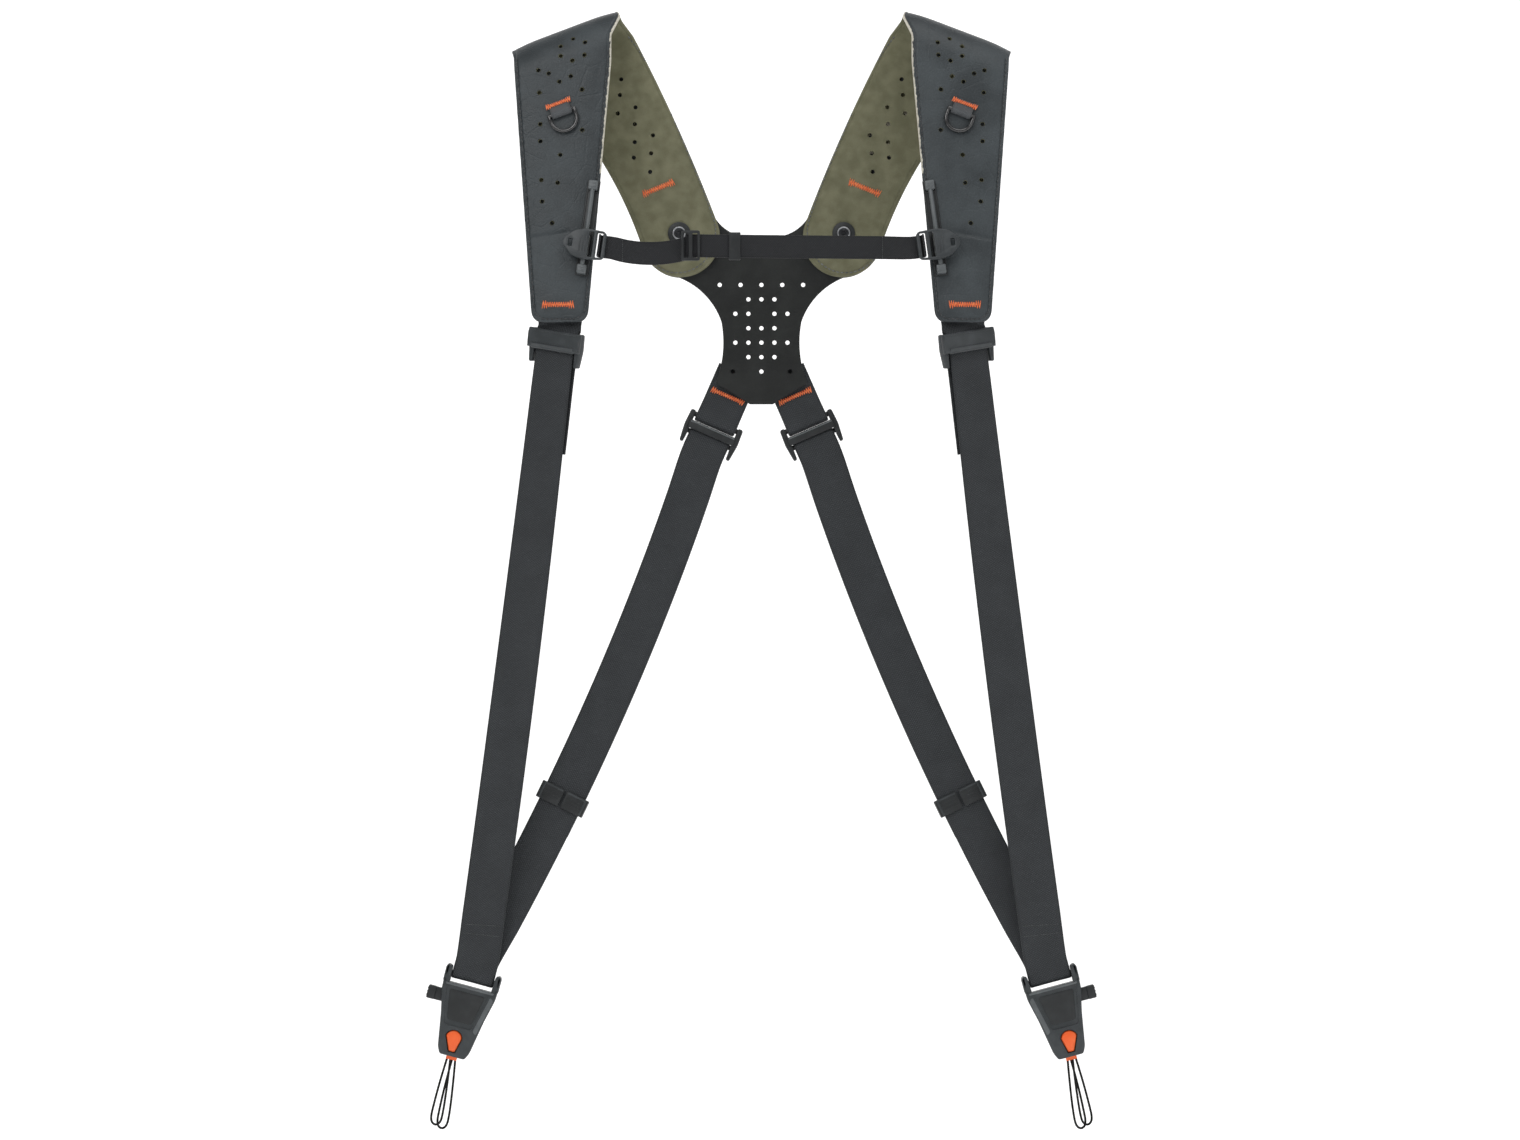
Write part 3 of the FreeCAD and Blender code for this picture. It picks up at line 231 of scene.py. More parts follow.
class Desk:
    """Adds and joins the nodes of one material."""

    def __init__(self, name: str, colour: Sequence[float]) -> None:
        """Starts a material with its plain colour."""
        self.material: Material = bpy.data.materials.new(name)
        self.material.use_nodes = True
        self.material.diffuse_color = (*colour[:3], 1.0)
        self.tree = self.material.node_tree
        self.shader = next(n for n in self.tree.nodes if n.type == "BSDF_PRINCIPLED")

    def add(self, kind: str, sockets: dict, **settings: object) -> bpy.types.Node:
        """Adds a node, sets its settings, and links or sets its sockets."""
        node = self.tree.nodes.new(kind)
        for name, value in settings.items():
            setattr(node, name, value)
        for name, value in sockets.items():
            self.put(node.inputs[name], value)
        return node

    def put(self, socket: NodeSocket, value: object) -> None:
        """Links a socket to another, or sets its value; three numbers make an opaque colour."""
        if isinstance(value, NodeSocket):
            self.tree.links.new(value, socket)
        elif isinstance(value, tuple) and len(value) == 3:
            socket.default_value = (*value, 1.0)
        else:
            socket.default_value = value

    def place(self) -> NodeSocket:
        """Object coordinates."""
        return self.add("ShaderNodeTexCoord", {}).outputs["Object"]

    def field(self, name: str) -> NodeSocket:
        """A number that the piece's own mesh holds."""
        return self.add("ShaderNodeAttribute", {}, attribute_name=name).outputs["Fac"]

    def uv(self) -> tuple[NodeSocket, NodeSocket]:
        """The piece's own across and along coordinates."""
        split = self.add("ShaderNodeSeparateXYZ", {0: self.add("ShaderNodeTexCoord", {}).outputs["UV"]})
        return split.outputs["X"], split.outputs["Y"]

    def math(self, operation: str, *values: Number) -> NodeSocket:
        """One step of arithmetic."""
        return self.add("ShaderNodeMath", dict(enumerate(values)), operation=operation).outputs[0]

    def noise(self, scale: float, detail: float = 4.0, where: NodeSocket | None = None) -> NodeSocket:
        """Soft noise of about scale blobs a metre."""
        sockets = {"Vector": where or self.place(), "Scale": scale, "Detail": detail}
        return self.add("ShaderNodeTexNoise", sockets).outputs["Fac"]

    def cells(self, scale: float, feature: str = "F1", where: NodeSocket | None = None) -> NodeSocket:
        """Distance within cells of about scale a metre."""
        sockets = {"Vector": where or self.place(), "Scale": scale}
        return self.add("ShaderNodeTexVoronoi", sockets, feature=feature).outputs["Distance"]

    def step(self, value: NodeSocket, low: float, high: float) -> NodeSocket:
        """Goes smoothly from 0 at low to 1 at high."""
        sockets = {"Value": value, "From Min": low, "From Max": high}
        return self.add("ShaderNodeMapRange", sockets, interpolation_type="SMOOTHSTEP").outputs[0]

    def mix(self, kind: str, factor: NodeSocket, *pairs: tuple[int, object]) -> bpy.types.Node:
        """Adds a mixing node and fills its numbered sockets."""
        return self.add("ShaderNodeMix", {0: factor, **dict(pairs)}, data_type=kind)

    def blend(self, factor: NodeSocket, first: object, second: object) -> NodeSocket:
        """Mixes two colours."""
        return self.mix("RGBA", factor, (6, first), (7, second)).outputs[2]

    def between(self, factor: NodeSocket, first: Number, second: Number) -> NodeSocket:
        """Mixes two numbers."""
        return self.mix("FLOAT", factor, (2, first), (3, second)).outputs[0]

    def times(self, first: NodeSocket, second: Number) -> NodeSocket:
        """Multiplies two numbers."""
        return self.math("MULTIPLY", first, second)

    def plus(self, first: NodeSocket, second: Number) -> NodeSocket:
        """Adds two numbers."""
        return self.math("ADD", first, second)

    def scaled(self, value: NodeSocket, by: float, more: Number) -> NodeSocket:
        """Multiplies a number and adds another."""
        return self.math("MULTIPLY_ADD", value, by, more)

    def raised(self, height: NodeSocket, depth: float, strength: float = 1.0) -> None:
        """Gives the shader a bump of so many metres."""
        bump = self.add("ShaderNodeBump", {"Height": height, "Distance": depth, "Strength": strength})
        self.tree.links.new(bump.outputs[0], self.shader.inputs["Normal"])

    def done(self, **sockets: object) -> Material:
        """Links or sets the shader's sockets and gives back the material."""
        for name, value in sockets.items():
            self.put(self.shader.inputs[name.replace("_", " ").title().replace("Ior", "IOR")], value)
        return self.material


@dataclass(frozen=True)
class PadFinish:
    """Grained leather outside, suede inside and a raw cut edge between them."""

    name: str = "pad_leather_and_suede"
    leather: tuple[Colour, Colour] = ((0.018, 0.023, 0.026), (0.052, 0.063, 0.069))
    suede: tuple[Colour, Colour] = ((0.098, 0.098, 0.056), (0.205, 0.200, 0.128))
    raw: tuple[Colour, Colour] = ((0.020, 0.021, 0.023), (0.330, 0.300, 0.210))
    rim_shade: Colour = (0.012, 0.014, 0.016)
    fleece: tuple[Colour, Colour] = ((0.36, 0.33, 0.25), (0.78, 0.75, 0.66))
    grain: float = 1050.0

    def make(self) -> Material:
        """Builds the material; the mesh holds its layer, its distance to the rim and its neck side."""
        desk = Desk(self.name, self.leather[0])
        layer, rim, neck = desk.field("layer"), desk.field("rim"), desk.field("neck")
        outside = desk.step(layer, 0.56, 0.66)
        inside = desk.step(layer, 0.36, 0.26)
        patches = desk.step(desk.noise(38.0, 6.0), 0.3, 0.75)
        pebbles = desk.cells(self.grain)
        fibres = desk.noise(2600.0, 6.0)
        nap = desk.step(desk.noise(95.0, 8.0), 0.25, 0.8)
        skin = desk.blend(desk.scaled(pebbles, 0.35, desk.times(patches, 0.6)), *self.leather)
        # Darker along the rim: painted shade where the pad's rounded edge turns away from the light.
        rim_shade_mask = desk.step(desk.plus(rim, desk.times(desk.noise(420.0), 1.4)), 1.9, 0.7)
        skin = desk.blend(desk.times(rim_shade_mask, 0.85), skin, self.rim_shade)
        velvet = desk.blend(desk.scaled(fibres, 0.5, desk.times(nap, 0.6)), *self.suede)
        edge = desk.blend(desk.step(neck, 0.35, 0.65), *self.raw)
        colour = desk.blend(inside, desk.blend(outside, edge, skin), velvet)
        cream = desk.times(desk.times(desk.step(neck, 0.4, 0.6), desk.step(layer, 0.25, 0.32)),
                           desk.step(desk.plus(rim, desk.noise(500.0)), 2.1, 1.5))
        colour = desk.blend(cream, colour, desk.blend(desk.noise(900.0, 6.0), *self.fleece))
        from_seam = desk.times(desk.math("SUBTRACT", rim, 2.6), 1.5)
        seam = desk.math("POWER", 2.718, desk.times(desk.math("POWER", from_seam, 2.0), -1.0))
        folds = desk.step(desk.cells(62.0, "DISTANCE_TO_EDGE"), 0.05, 0.0)
        crease = desk.times(desk.times(folds, desk.noise(30.0)), 0.5)
        grain = desk.math("SUBTRACT", desk.scaled(pebbles, -0.4, desk.times(fibres, 0.15)), crease)
        height = desk.between(inside, grain, desk.times(fibres, 0.55))
        desk.raised(desk.scaled(seam, -1.5, height), 0.00032)
        rough = desk.between(inside, desk.between(outside, 0.85, desk.scaled(patches, 0.14, 0.40)), 0.96)
        return desk.done(base_color=colour, roughness=rough, specular_ior_level=0.4)


@dataclass(frozen=True)
class LeatherFinish:
    """Smooth dark leather with a fine grain."""

    name: str
    dark: Colour = (0.004, 0.005, 0.005)
    pale: Colour = (0.018, 0.020, 0.019)
    grain: float = 1500.0

    def make(self) -> Material:
        """Builds the material."""
        desk = Desk(self.name, self.dark)
        pebbles, cloud = desk.cells(self.grain), desk.noise(45.0, 7.0)
        colour = desk.blend(desk.scaled(pebbles, 0.3, desk.step(cloud, 0.3, 0.9)), self.dark, self.pale)
        desk.raised(desk.scaled(pebbles, -0.5, desk.noise(3200.0)), 0.00016)
        return desk.done(base_color=colour, roughness=desk.scaled(cloud, 0.25, 0.46),
                         specular_ior_level=0.35)


@dataclass(frozen=True)
class WebbingFinish:
    """Woven nylon: ribs across, ends along, and a denser edge."""

    name: str
    dark: Colour
    pale: Colour
    wide: float
    rib: float = 0.00165
    end: float = 0.0011

    def make(self) -> Material:
        """Builds the material on the piece's own coordinates in metres."""
        desk = Desk(self.name, self.dark)
        across, along = desk.uv()
        column = desk.math("FLOOR", desk.math("DIVIDE", across, self.end))
        shift = desk.times(desk.math("MODULO", column, 2.0), math.pi)
        turns = desk.times(along, 2 * math.pi / self.rib)
        weft = desk.math("SINE", desk.scaled(turns, 0.5, desk.times(shift, 0.5)))
        weft = desk.math("ABSOLUTE", weft)
        warp = desk.math("ABSOLUTE", desk.math("SINE", desk.times(across, math.pi / self.end)))
        weave = desk.times(weft, desk.scaled(warp, 0.6, 0.4))
        fuzz = desk.noise(2400.0, 5.0)
        cloud = desk.noise(55.0, 6.0)
        rim = self.wide / 2
        edge = desk.step(desk.math("ABSOLUTE", across), rim - 0.0018, rim - 0.0010)
        shade = desk.scaled(weave, 0.45, desk.scaled(fuzz, 0.35, desk.times(cloud, 0.35)))
        colour = desk.blend(desk.math("SUBTRACT", shade, desk.times(edge, 0.12)), self.dark, self.pale)
        desk.raised(desk.scaled(fuzz, 0.25, weave), 0.00028)
        return desk.done(base_color=colour, roughness=desk.scaled(weave, -0.20, 0.72),
                         specular_ior_level=0.32, sheen_weight=0.04, sheen_roughness=0.4)


@dataclass(frozen=True)
class MouldedFinish:
    """Moulded plastic: a fine spark texture, faint flow marks and lighter scuffs."""

    name: str
    colour: Colour
    scuff: Colour
    rough: float = 0.42

    def make(self) -> Material:
        """Builds the material."""
        desk = Desk(self.name, self.colour)
        cloud, spark = desk.noise(120.0, 6.0), desk.noise(5200.0, 3.0)
        scratch = desk.step(desk.noise(700.0, 8.0), 0.62, 0.78)
        worn = desk.scaled(desk.step(cloud, 0.35, 0.8), 0.35, desk.times(scratch, 0.3))
        desk.raised(spark, 0.00005)
        return desk.done(base_color=desk.blend(worn, self.colour, self.scuff),
                         roughness=desk.scaled(cloud, 0.2, self.rough - 0.08), specular_ior_level=0.5)


@dataclass(frozen=True)
class MetalFinish:
    """Turned or bent metal with a drawn grain."""

    name: str
    colour: Colour
    rough: float = 0.3
    metallic: float = 1.0
    coat: float = 0.0

    def make(self) -> Material:
        """Builds the material."""
        desk = Desk(self.name, self.colour)
        drawn, wear = desk.noise(1800.0, 3.0), desk.step(desk.noise(300.0, 6.0), 0.45, 0.8)
        lighter = tuple(min(1.0, c * 1.7 + 0.02) for c in self.colour)
        desk.raised(drawn, 0.000008)
        return desk.done(base_color=desk.blend(wear, self.colour, lighter), metallic=self.metallic,
                         roughness=desk.scaled(drawn, 0.14, self.rough - 0.07),
                         coat_weight=self.coat, coat_roughness=0.08)


@dataclass(frozen=True)
class ThreadFinish:
    """Twisted sewing thread."""

    name: str
    colour: Colour
    pale: Colour

    def make(self) -> Material:
        """Builds the material."""
        desk = Desk(self.name, self.colour)
        fibre = desk.noise(4200.0, 4.0)
        desk.raised(fibre, 0.0001)
        strands = desk.step(desk.noise(700.0), 0.3, 0.75)
        return desk.done(base_color=desk.blend(strands, self.colour, self.pale),
                         roughness=desk.scaled(fibre, 0.2, 0.55), sheen_weight=0.3)


@dataclass(frozen=True)
class CordFinish:
    """Fine braid round a cord, on the curve's own coordinates."""

    name: str = "braided_cord"
    dark: Colour = (0.001, 0.001, 0.001)
    pale: Colour = (0.010, 0.010, 0.011)
    length: float = 0.1

    def make(self) -> Material:
        """Builds the material."""
        desk = Desk(self.name, self.dark)
        along, around = desk.uv()
        turns = desk.times(along, 2 * math.pi * self.length / 0.0016)
        ring = desk.times(around, 2 * math.pi * 4)
        one = desk.math("SINE", desk.plus(turns, ring))
        two = desk.math("SINE", desk.math("SUBTRACT", turns, ring))
        braid = desk.math("ABSOLUTE", desk.times(one, two))
        desk.raised(braid, 0.00018)
        shade = desk.scaled(braid, 0.5, desk.times(desk.noise(900.0), 0.3))
        return desk.done(base_color=desk.blend(shade, self.dark, self.pale), roughness=0.7,
                         specular_ior_level=0.25)


@dataclass(frozen=True)
class FloorFinish:
    """A plain pale backdrop."""

    name: str = "pale_backdrop"

    def make(self) -> Material:
        """Builds the material."""
        desk = Desk(self.name, (0.9, 0.9, 0.9))
        grain = desk.noise(30.0)
        return desk.done(base_color=desk.blend(grain, (0.90, 0.90, 0.90), (0.94, 0.94, 0.94)), roughness=0.9,
                         emission_color=(1.0, 1.0, 1.0), emission_strength=0.45)


@dataclass
class Finishes:
    """Every finish of the harness, made once."""

    made: dict[str, Material] = field(default_factory=dict)

    def __post_init__(self) -> None:
        """Makes the materials by a short name each."""
        slate = ((0.003, 0.004, 0.005), (0.046, 0.051, 0.056))
        kinds = {
            "pad": PadFinish(),
            "yoke": LeatherFinish("yoke_leather"),
            "webbing": WebbingFinish("slate_webbing", *slate, wide=0.030),
            "chest": WebbingFinish("chest_webbing", (0.002, 0.002, 0.003), (0.022, 0.024, 0.027), wide=0.016,
                                   rib=0.0012, end=0.0009),
            "keeper_tape": WebbingFinish("grey_tape", (0.022, 0.024, 0.027), (0.125, 0.134, 0.142), wide=0.0145,
                                         rib=0.0010, end=0.0009),
            "dark": MouldedFinish("dark_acetal", (0.008, 0.010, 0.011), (0.034, 0.038, 0.041)),
            "mid": MouldedFinish("grey_acetal", (0.024, 0.029, 0.032), (0.070, 0.079, 0.084), 0.38),
            "light": MouldedFinish("light_acetal", (0.085, 0.095, 0.100), (0.190, 0.205, 0.212), 0.36),
            "orange": MouldedFinish("orange_acetal", (0.86, 0.115, 0.016), (0.95, 0.24, 0.07), 0.35),
            "wire": MetalFinish("coated_wire", (0.008, 0.008, 0.009), 0.18, 0.0, 0.8),
            "steel": MetalFinish("bright_steel", (0.42, 0.43, 0.45), 0.30),
            "blackened": MetalFinish("blackened_steel", (0.05, 0.052, 0.056), 0.34),
            "orange_thread": ThreadFinish("orange_thread", (0.60, 0.085, 0.014), (0.92, 0.240, 0.070)),
            "dark_thread": ThreadFinish("dark_thread", (0.008, 0.009, 0.010), (0.060, 0.064, 0.068)),
            "seam_thread": ThreadFinish("seam_thread", (0.035, 0.038, 0.036), (0.190, 0.200, 0.190)),
            "cord": CordFinish(),
            "floor": FloorFinish(),
        }
        self.made = {name: kind.make() for name, kind in kinds.items()}

    def __getitem__(self, name: str) -> Material:
        """The material of a short name."""
        return self.made[name]


# ---- making meshes ----

def evaluated(obj: Object) -> Mesh:
    """The mesh that an object's modifiers give."""
    graph = bpy.context.evaluated_depsgraph_get()
    return bpy.data.meshes.new_from_object(obj.evaluated_get(graph))


def linked(name: str, data: bpy.types.ID) -> Object:
    """A new object in the scene."""
    obj = bpy.data.objects.new(name, data)
    bpy.context.scene.collection.objects.link(obj)
    return obj


def cad_copy(nodes: Sequence[str]) -> bmesh.types.BMesh:
    """The meshes of some model nodes as one, welded, in millimetres."""
    bm = bmesh.new()
    for node in nodes:
        bm.from_mesh(bpy.data.objects[node].data)
    bm.transform(Matrix.Scale(1 / MM, 4))
    bmesh.ops.remove_doubles(bm, verts=bm.verts, dist=0.002)
    return bm


def rounded(corners: Sequence[Pair], radius: float, steps: int = 5) -> list[Pair]:
    """An outline with its corners rounded.

    Args:
        corners: The outline's sharp corners.
        radius: How far along each side a corner's curve begins.
        steps: Points on each curve.

    Returns:
        The outline's points.
    """
    points: list[Pair] = []
    for i, corner in enumerate(corners):
        here = Vector(corner)
        before, after = Vector(corners[i - 1]) - here, Vector(corners[(i + 1) % len(corners)]) - here
        run = min(radius, before.length * 0.45, after.length * 0.45)
        start, end = here + before.normalized() * run, here + after.normalized() * run
        for k in range(steps + 1):
            t = k / steps
            point = start * (1 - t) ** 2 + here * (2 * t * (1 - t)) + end * t ** 2
            points.append((point.x, point.y))
    return points


def oblong(middle: Pair, size: Pair, radius: float) -> list[Pair]:
    """A rounded rectangle about a middle."""
    (x, z), (w, h) = middle, (size[0] / 2, size[1] / 2)
    return rounded([(x - w, z - h), (x + w, z - h), (x + w, z + h), (x - w, z + h)], radius)


class Shell:
    """A mesh in the making, in millimetres in its own frame."""

    def __init__(self) -> None:
        """Starts empty."""
        self.bm = bmesh.new()

    def block(self, size: Sequence[float], centre: Sequence[float], rounding: float = 0.4,
              turn: Matrix | None = None) -> "Shell":
        """Adds a box with rounded edges."""
        part = bmesh.new()
        bmesh.ops.create_cube(part, size=1.0, matrix=Matrix.Diagonal((*size, 1.0)))
        bmesh.ops.bevel(part, geom=part.edges[:], offset=rounding, segments=3, profile=0.5,
                        affect="EDGES", material=-1)
        part.transform(Matrix.Translation(centre) @ (turn or AS_BUILT))
        return self.take(part)

    def rod(self, radius: float, length: float, centre: Sequence[float], way: Way = Way.ACROSS,
            rounding: float = 0.3, tip: float | None = None, segments: int = 40) -> "Shell":
        """Adds a round rod, or a cone when tip gives its other end's radius."""
        part = bmesh.new()
        bmesh.ops.create_cone(part, cap_ends=True, segments=segments, radius1=radius,
                              radius2=radius if tip is None else tip, depth=length)
        rims = [e for e in part.edges if abs(e.verts[0].co.z - e.verts[1].co.z) < 1e-4]
        bmesh.ops.bevel(part, geom=rims, offset=rounding, segments=2, profile=0.5, affect="EDGES",
                        material=-1)
        part.transform(Matrix.Translation(centre) @ way.value)
        return self.take(part)

    def slab(self, outlines: Sequence[Sequence[Pair]], front: float, back: float,
             rounding: float = 0.35) -> "Shell":
        """Adds a plate in the XZ plane between two depths, with holes and rounded rims.

        Args:
            outlines: The outer outline, then its holes, as (x, z) points.
            front: Depth of its front face.
            back: Depth of its back face.
            rounding: Radius of its rims.

        Returns:
            This shell.
        """
        curve = bpy.data.curves.new("outline", "CURVE")
        curve.dimensions, curve.fill_mode = "2D", "BOTH"
        for points in outlines:
            spline = curve.splines.new("POLY")
            spline.points.add(len(points) - 1)
            for place, (x, z) in zip(spline.points, points):
                place.co = (x, z, 0, 1)
            spline.use_cyclic_u = True
        curve.extrude = (back - front) / 2 - rounding
        curve.bevel_depth, curve.bevel_resolution, curve.offset = rounding, 2, -rounding
        holder = linked("outline", curve)
        mesh = bpy.data.meshes.new_from_object(holder)
        bpy.data.objects.remove(holder)
        part = bmesh.new()
        part.from_mesh(mesh)
        bpy.data.meshes.remove(mesh)
        bmesh.ops.remove_doubles(part, verts=part.verts, dist=0.001)
        part.transform(Matrix.Translation((0, (front + back) / 2, 0)) @ Way.DEEP.value)
        return self.take(part)

    def loop(self, radius: float, wire: float, degrees: float, centre: Sequence[float]) -> "Shell":
        """Adds a bent wire that hangs as an arc in the XZ plane from +X round below to -X."""
        part = bmesh.new()
        ring = bmesh.ops.create_circle(part, cap_ends=False, segments=20, radius=wire)
        part.transform(Matrix.Translation((radius, 0, 0)))
        geometry = part.edges[:] + ring["verts"]
        bmesh.ops.spin(part, geom=geometry, cent=(0, 0, 0), axis=(0, 1, 0), angle=math.radians(degrees),
                       steps=36, use_merge=False)
        bmesh.ops.holes_fill(part, edges=part.edges[:], sides=24)
        bmesh.ops.recalc_face_normals(part, faces=part.faces[:])
        part.transform(Matrix.Translation(centre))
        return self.take(part)

    def ball(self, radius: float, centre: Sequence[float]) -> "Shell":
        """Adds a small ball, such as a bent wire's corner."""
        part = bmesh.new()
        bmesh.ops.create_uvsphere(part, u_segments=20, v_segments=12, radius=radius)
        part.transform(Matrix.Translation(centre))
        return self.take(part)

    def carve(self, tool: "Shell") -> "Shell":
        """Cuts another shell out of this one and frees it."""
        holders = []
        for shell in (self, tool):
            mesh = bpy.data.meshes.new("carved")
            shell.bm.to_mesh(mesh)
            shell.bm.free()
            holders.append(linked("carved", mesh))
        cut = holders[0].modifiers.new("cut", "BOOLEAN")
        cut.object, cut.operation, cut.solver = holders[1], "DIFFERENCE", "EXACT"
        cut.use_self = True
        mesh = evaluated(holders[0])
        for holder in holders:
            bpy.data.objects.remove(holder)
        self.bm = bmesh.new()
        self.bm.from_mesh(mesh)
        return self

    def take(self, part: bmesh.types.BMesh) -> "Shell":
        """Adds another mesh and frees it."""
        mesh = bpy.data.meshes.new("part")
        part.to_mesh(mesh)
        part.free()
        self.bm.from_mesh(mesh)
        bpy.data.meshes.remove(mesh)
        return self


@dataclass
class Maker:
    """Finishes pieces: places them, dresses them and ties them to their bodies."""

    finishes: Finishes

    def finish(self, name: str, bm: bmesh.types.BMesh, place: Matrix, finish: str, body: str,
               slot: str, stands_for: Sequence[str] = (), sharp: float = 35.0) -> Object:
        """Makes an object from a mesh in millimetres.

        Args:
            name: The piece's name.
            bm: Its mesh, in its own frame; freed here.
            place: Its placement in millimetres.
            finish: The short name of its finish.
            body: The body it rides on.
            slot: The record's material slot it belongs to; not used.
            stands_for: The model nodes it replaces.
            sharp: Angle in degrees past which an edge stays sharp.

        Returns:
            The object.
        """
        bm.transform(Matrix.Scale(MM, 4) @ place)
        mesh = bpy.data.meshes.new(name)
        bm.to_mesh(mesh)
        bm.free()
        mesh.shade_smooth()
        mesh.set_sharp_from_angle(angle=math.radians(sharp))
        return self.adopt(linked(name, mesh), finish, body, slot, stands_for)

    def adopt(self, obj: Object, finish: str, body: str, slot: str, stands_for: Sequence[str] = ()) -> Object:
        """Dresses an object and ties it to its body."""
        obj.data.materials.clear()
        obj.data.materials.append(self.finishes[finish])
        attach(obj, body)
        if stands_for:
            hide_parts(*stands_for)
        LOG.info("%s rides on %s", obj.name, body)
        return obj

    def dress(self, node: str, finish: str) -> None:
        """Gives a model node its finish."""
        node_object = bpy.data.objects[node]
        node_object.data.materials.clear()
        node_object.data.materials.append(self.finishes[finish])


# ---- webbing ----

def smooth_path(stations: Sequence[Station], spacing: float) -> list[Station]:
    """Stations close together on a smooth curve through a few.

    Args:
        stations: Points with the direction across the webbing there.
        spacing: About how far apart the new ones lie.

    Returns:
        The new stations.
    """
    points = [s[0] for s in stations]
    points = [points[0] * 2 - points[1]] + points + [points[-1] * 2 - points[-2]]
    result: list[Station] = []
    for i in range(len(stations) - 1):
        p = points[i:i + 4]
        knots = [0.0]
        for a, b in zip(p, p[1:]):
            knots.append(knots[-1] + max((b - a).length, 1e-4) ** 0.5)
        count = max(1, round((p[2] - p[1]).length / spacing))
        for k in range(count):
            t = knots[1] + (knots[2] - knots[1]) * k / count
            rows = list(p)
            for level in (1, 2, 3):
                for j in range(4 - level):
                    low, high = (knots[j], knots[j + level]) if level < 3 else (knots[1], knots[2])
                    rows[j] = rows[j] * ((high - t) / (high - low)) + rows[j + 1] * ((t - low) / (high - low))
            share = k / count
            across = stations[i][1] * (1 - share) + stations[i + 1][1] * share
            result.append((rows[0], across.normalized()))
    return result + [stations[-1]]


def ribbon(stations: Sequence[Station], wide: float, thick: float, spacing: float = 2.0,
           crown: float = 0.0) -> bmesh.types.BMesh:
    """A band of webbing along stations, with soft edges and its own coordinates in metres.

    Args:
        stations: Points with the direction across the webbing there.
        wide: The webbing's width.
        thick: Its thickness.
        spacing: How far apart its rows lie.
        crown: How far its middle stands out.

    Returns:
        The closed mesh.
    """
    path = smooth_path(stations, spacing)
    half, rise = wide / 2, thick / 2
    share = (0.97, 0.9, 0.62, 0.3, 0.0, -0.3, -0.62, -0.9, -0.97)
    depth = (0.8, 1, 1, 1, 1, 1, 1, 1, 0.8)
    section = [(half * s, rise * d + crown * (1 - s * s)) for s, d in zip(share, depth)]
    back = [(x, y - 2 * rise * d) for (x, y), d in zip(section[::-1], depth)]
    section += [(-half, 0.0), *back, (half, 0.0)]
    bm = bmesh.new()
    bmesh.ops.create_grid(bm, x_segments=len(section), y_segments=len(path) - 1, size=1.0)
    layer = bm.loops.layers.uv.new("webbing")
    columns = len({round(v.co.x, 4) for v in bm.verts}) - 1
    rows = len({round(v.co.y, 4) for v in bm.verts}) - 1
    lengths = [0.0]
    for (a, _), (b, _) in zip(path, path[1:]):
        lengths.append(lengths[-1] + (b - a).length)
    where = {}
    for v in bm.verts:
        column = round((v.co.x + 1) / 2 * columns) % len(section)
        row = min(round((v.co.y + 1) / 2 * rows), len(path) - 1)
        where[v] = (column, row)
    for face in bm.faces:
        for corner in face.loops:
            column, row = where[corner.vert]
            corner[layer].uv = (section[column][0] * MM, lengths[row] * MM)
    for v, (column, row) in where.items():
        point, across = path[row]
        along = (path[min(row + 1, len(path) - 1)][0] - path[max(row - 1, 0)][0]).normalized()
        side = (across - along * across.dot(along)).normalized()
        v.co = point + side * section[column][0] + along.cross(side) * section[column][1]
    bmesh.ops.remove_doubles(bm, verts=bm.verts, dist=0.001)
    bmesh.ops.holes_fill(bm, edges=[e for e in bm.edges if e.is_boundary], sides=0)
    bmesh.ops.recalc_face_normals(bm, faces=bm.faces[:])
    return bm


def around(centre: Vector, start: Vector, along: Vector, degrees: float, step: float = 20.0) -> list[Vector]:
    """Points on an arc about a centre that begins at start and heads along."""
    arm = start - centre
    ahead = along.normalized() * arm.length
    count = max(1, round(abs(degrees) / step))
    angles = [math.radians(degrees * i / count) for i in range(count + 1)]
    return [centre + arm * math.cos(a) + ahead * math.sin(a) for a in angles]


def bowed(top: Vector, bottom: Vector, bow: float, steps: int) -> list[Vector]:
    """Points on a shallow curve between two that bows to the middle plane."""
    inward = -1 if top.x > 0 else 1
    shares = (i / steps for i in range(steps + 1))
    return [top.lerp(bottom, t) + Vector((inward * bow * 4 * t * (1 - t), 0, 0)) for t in shares]


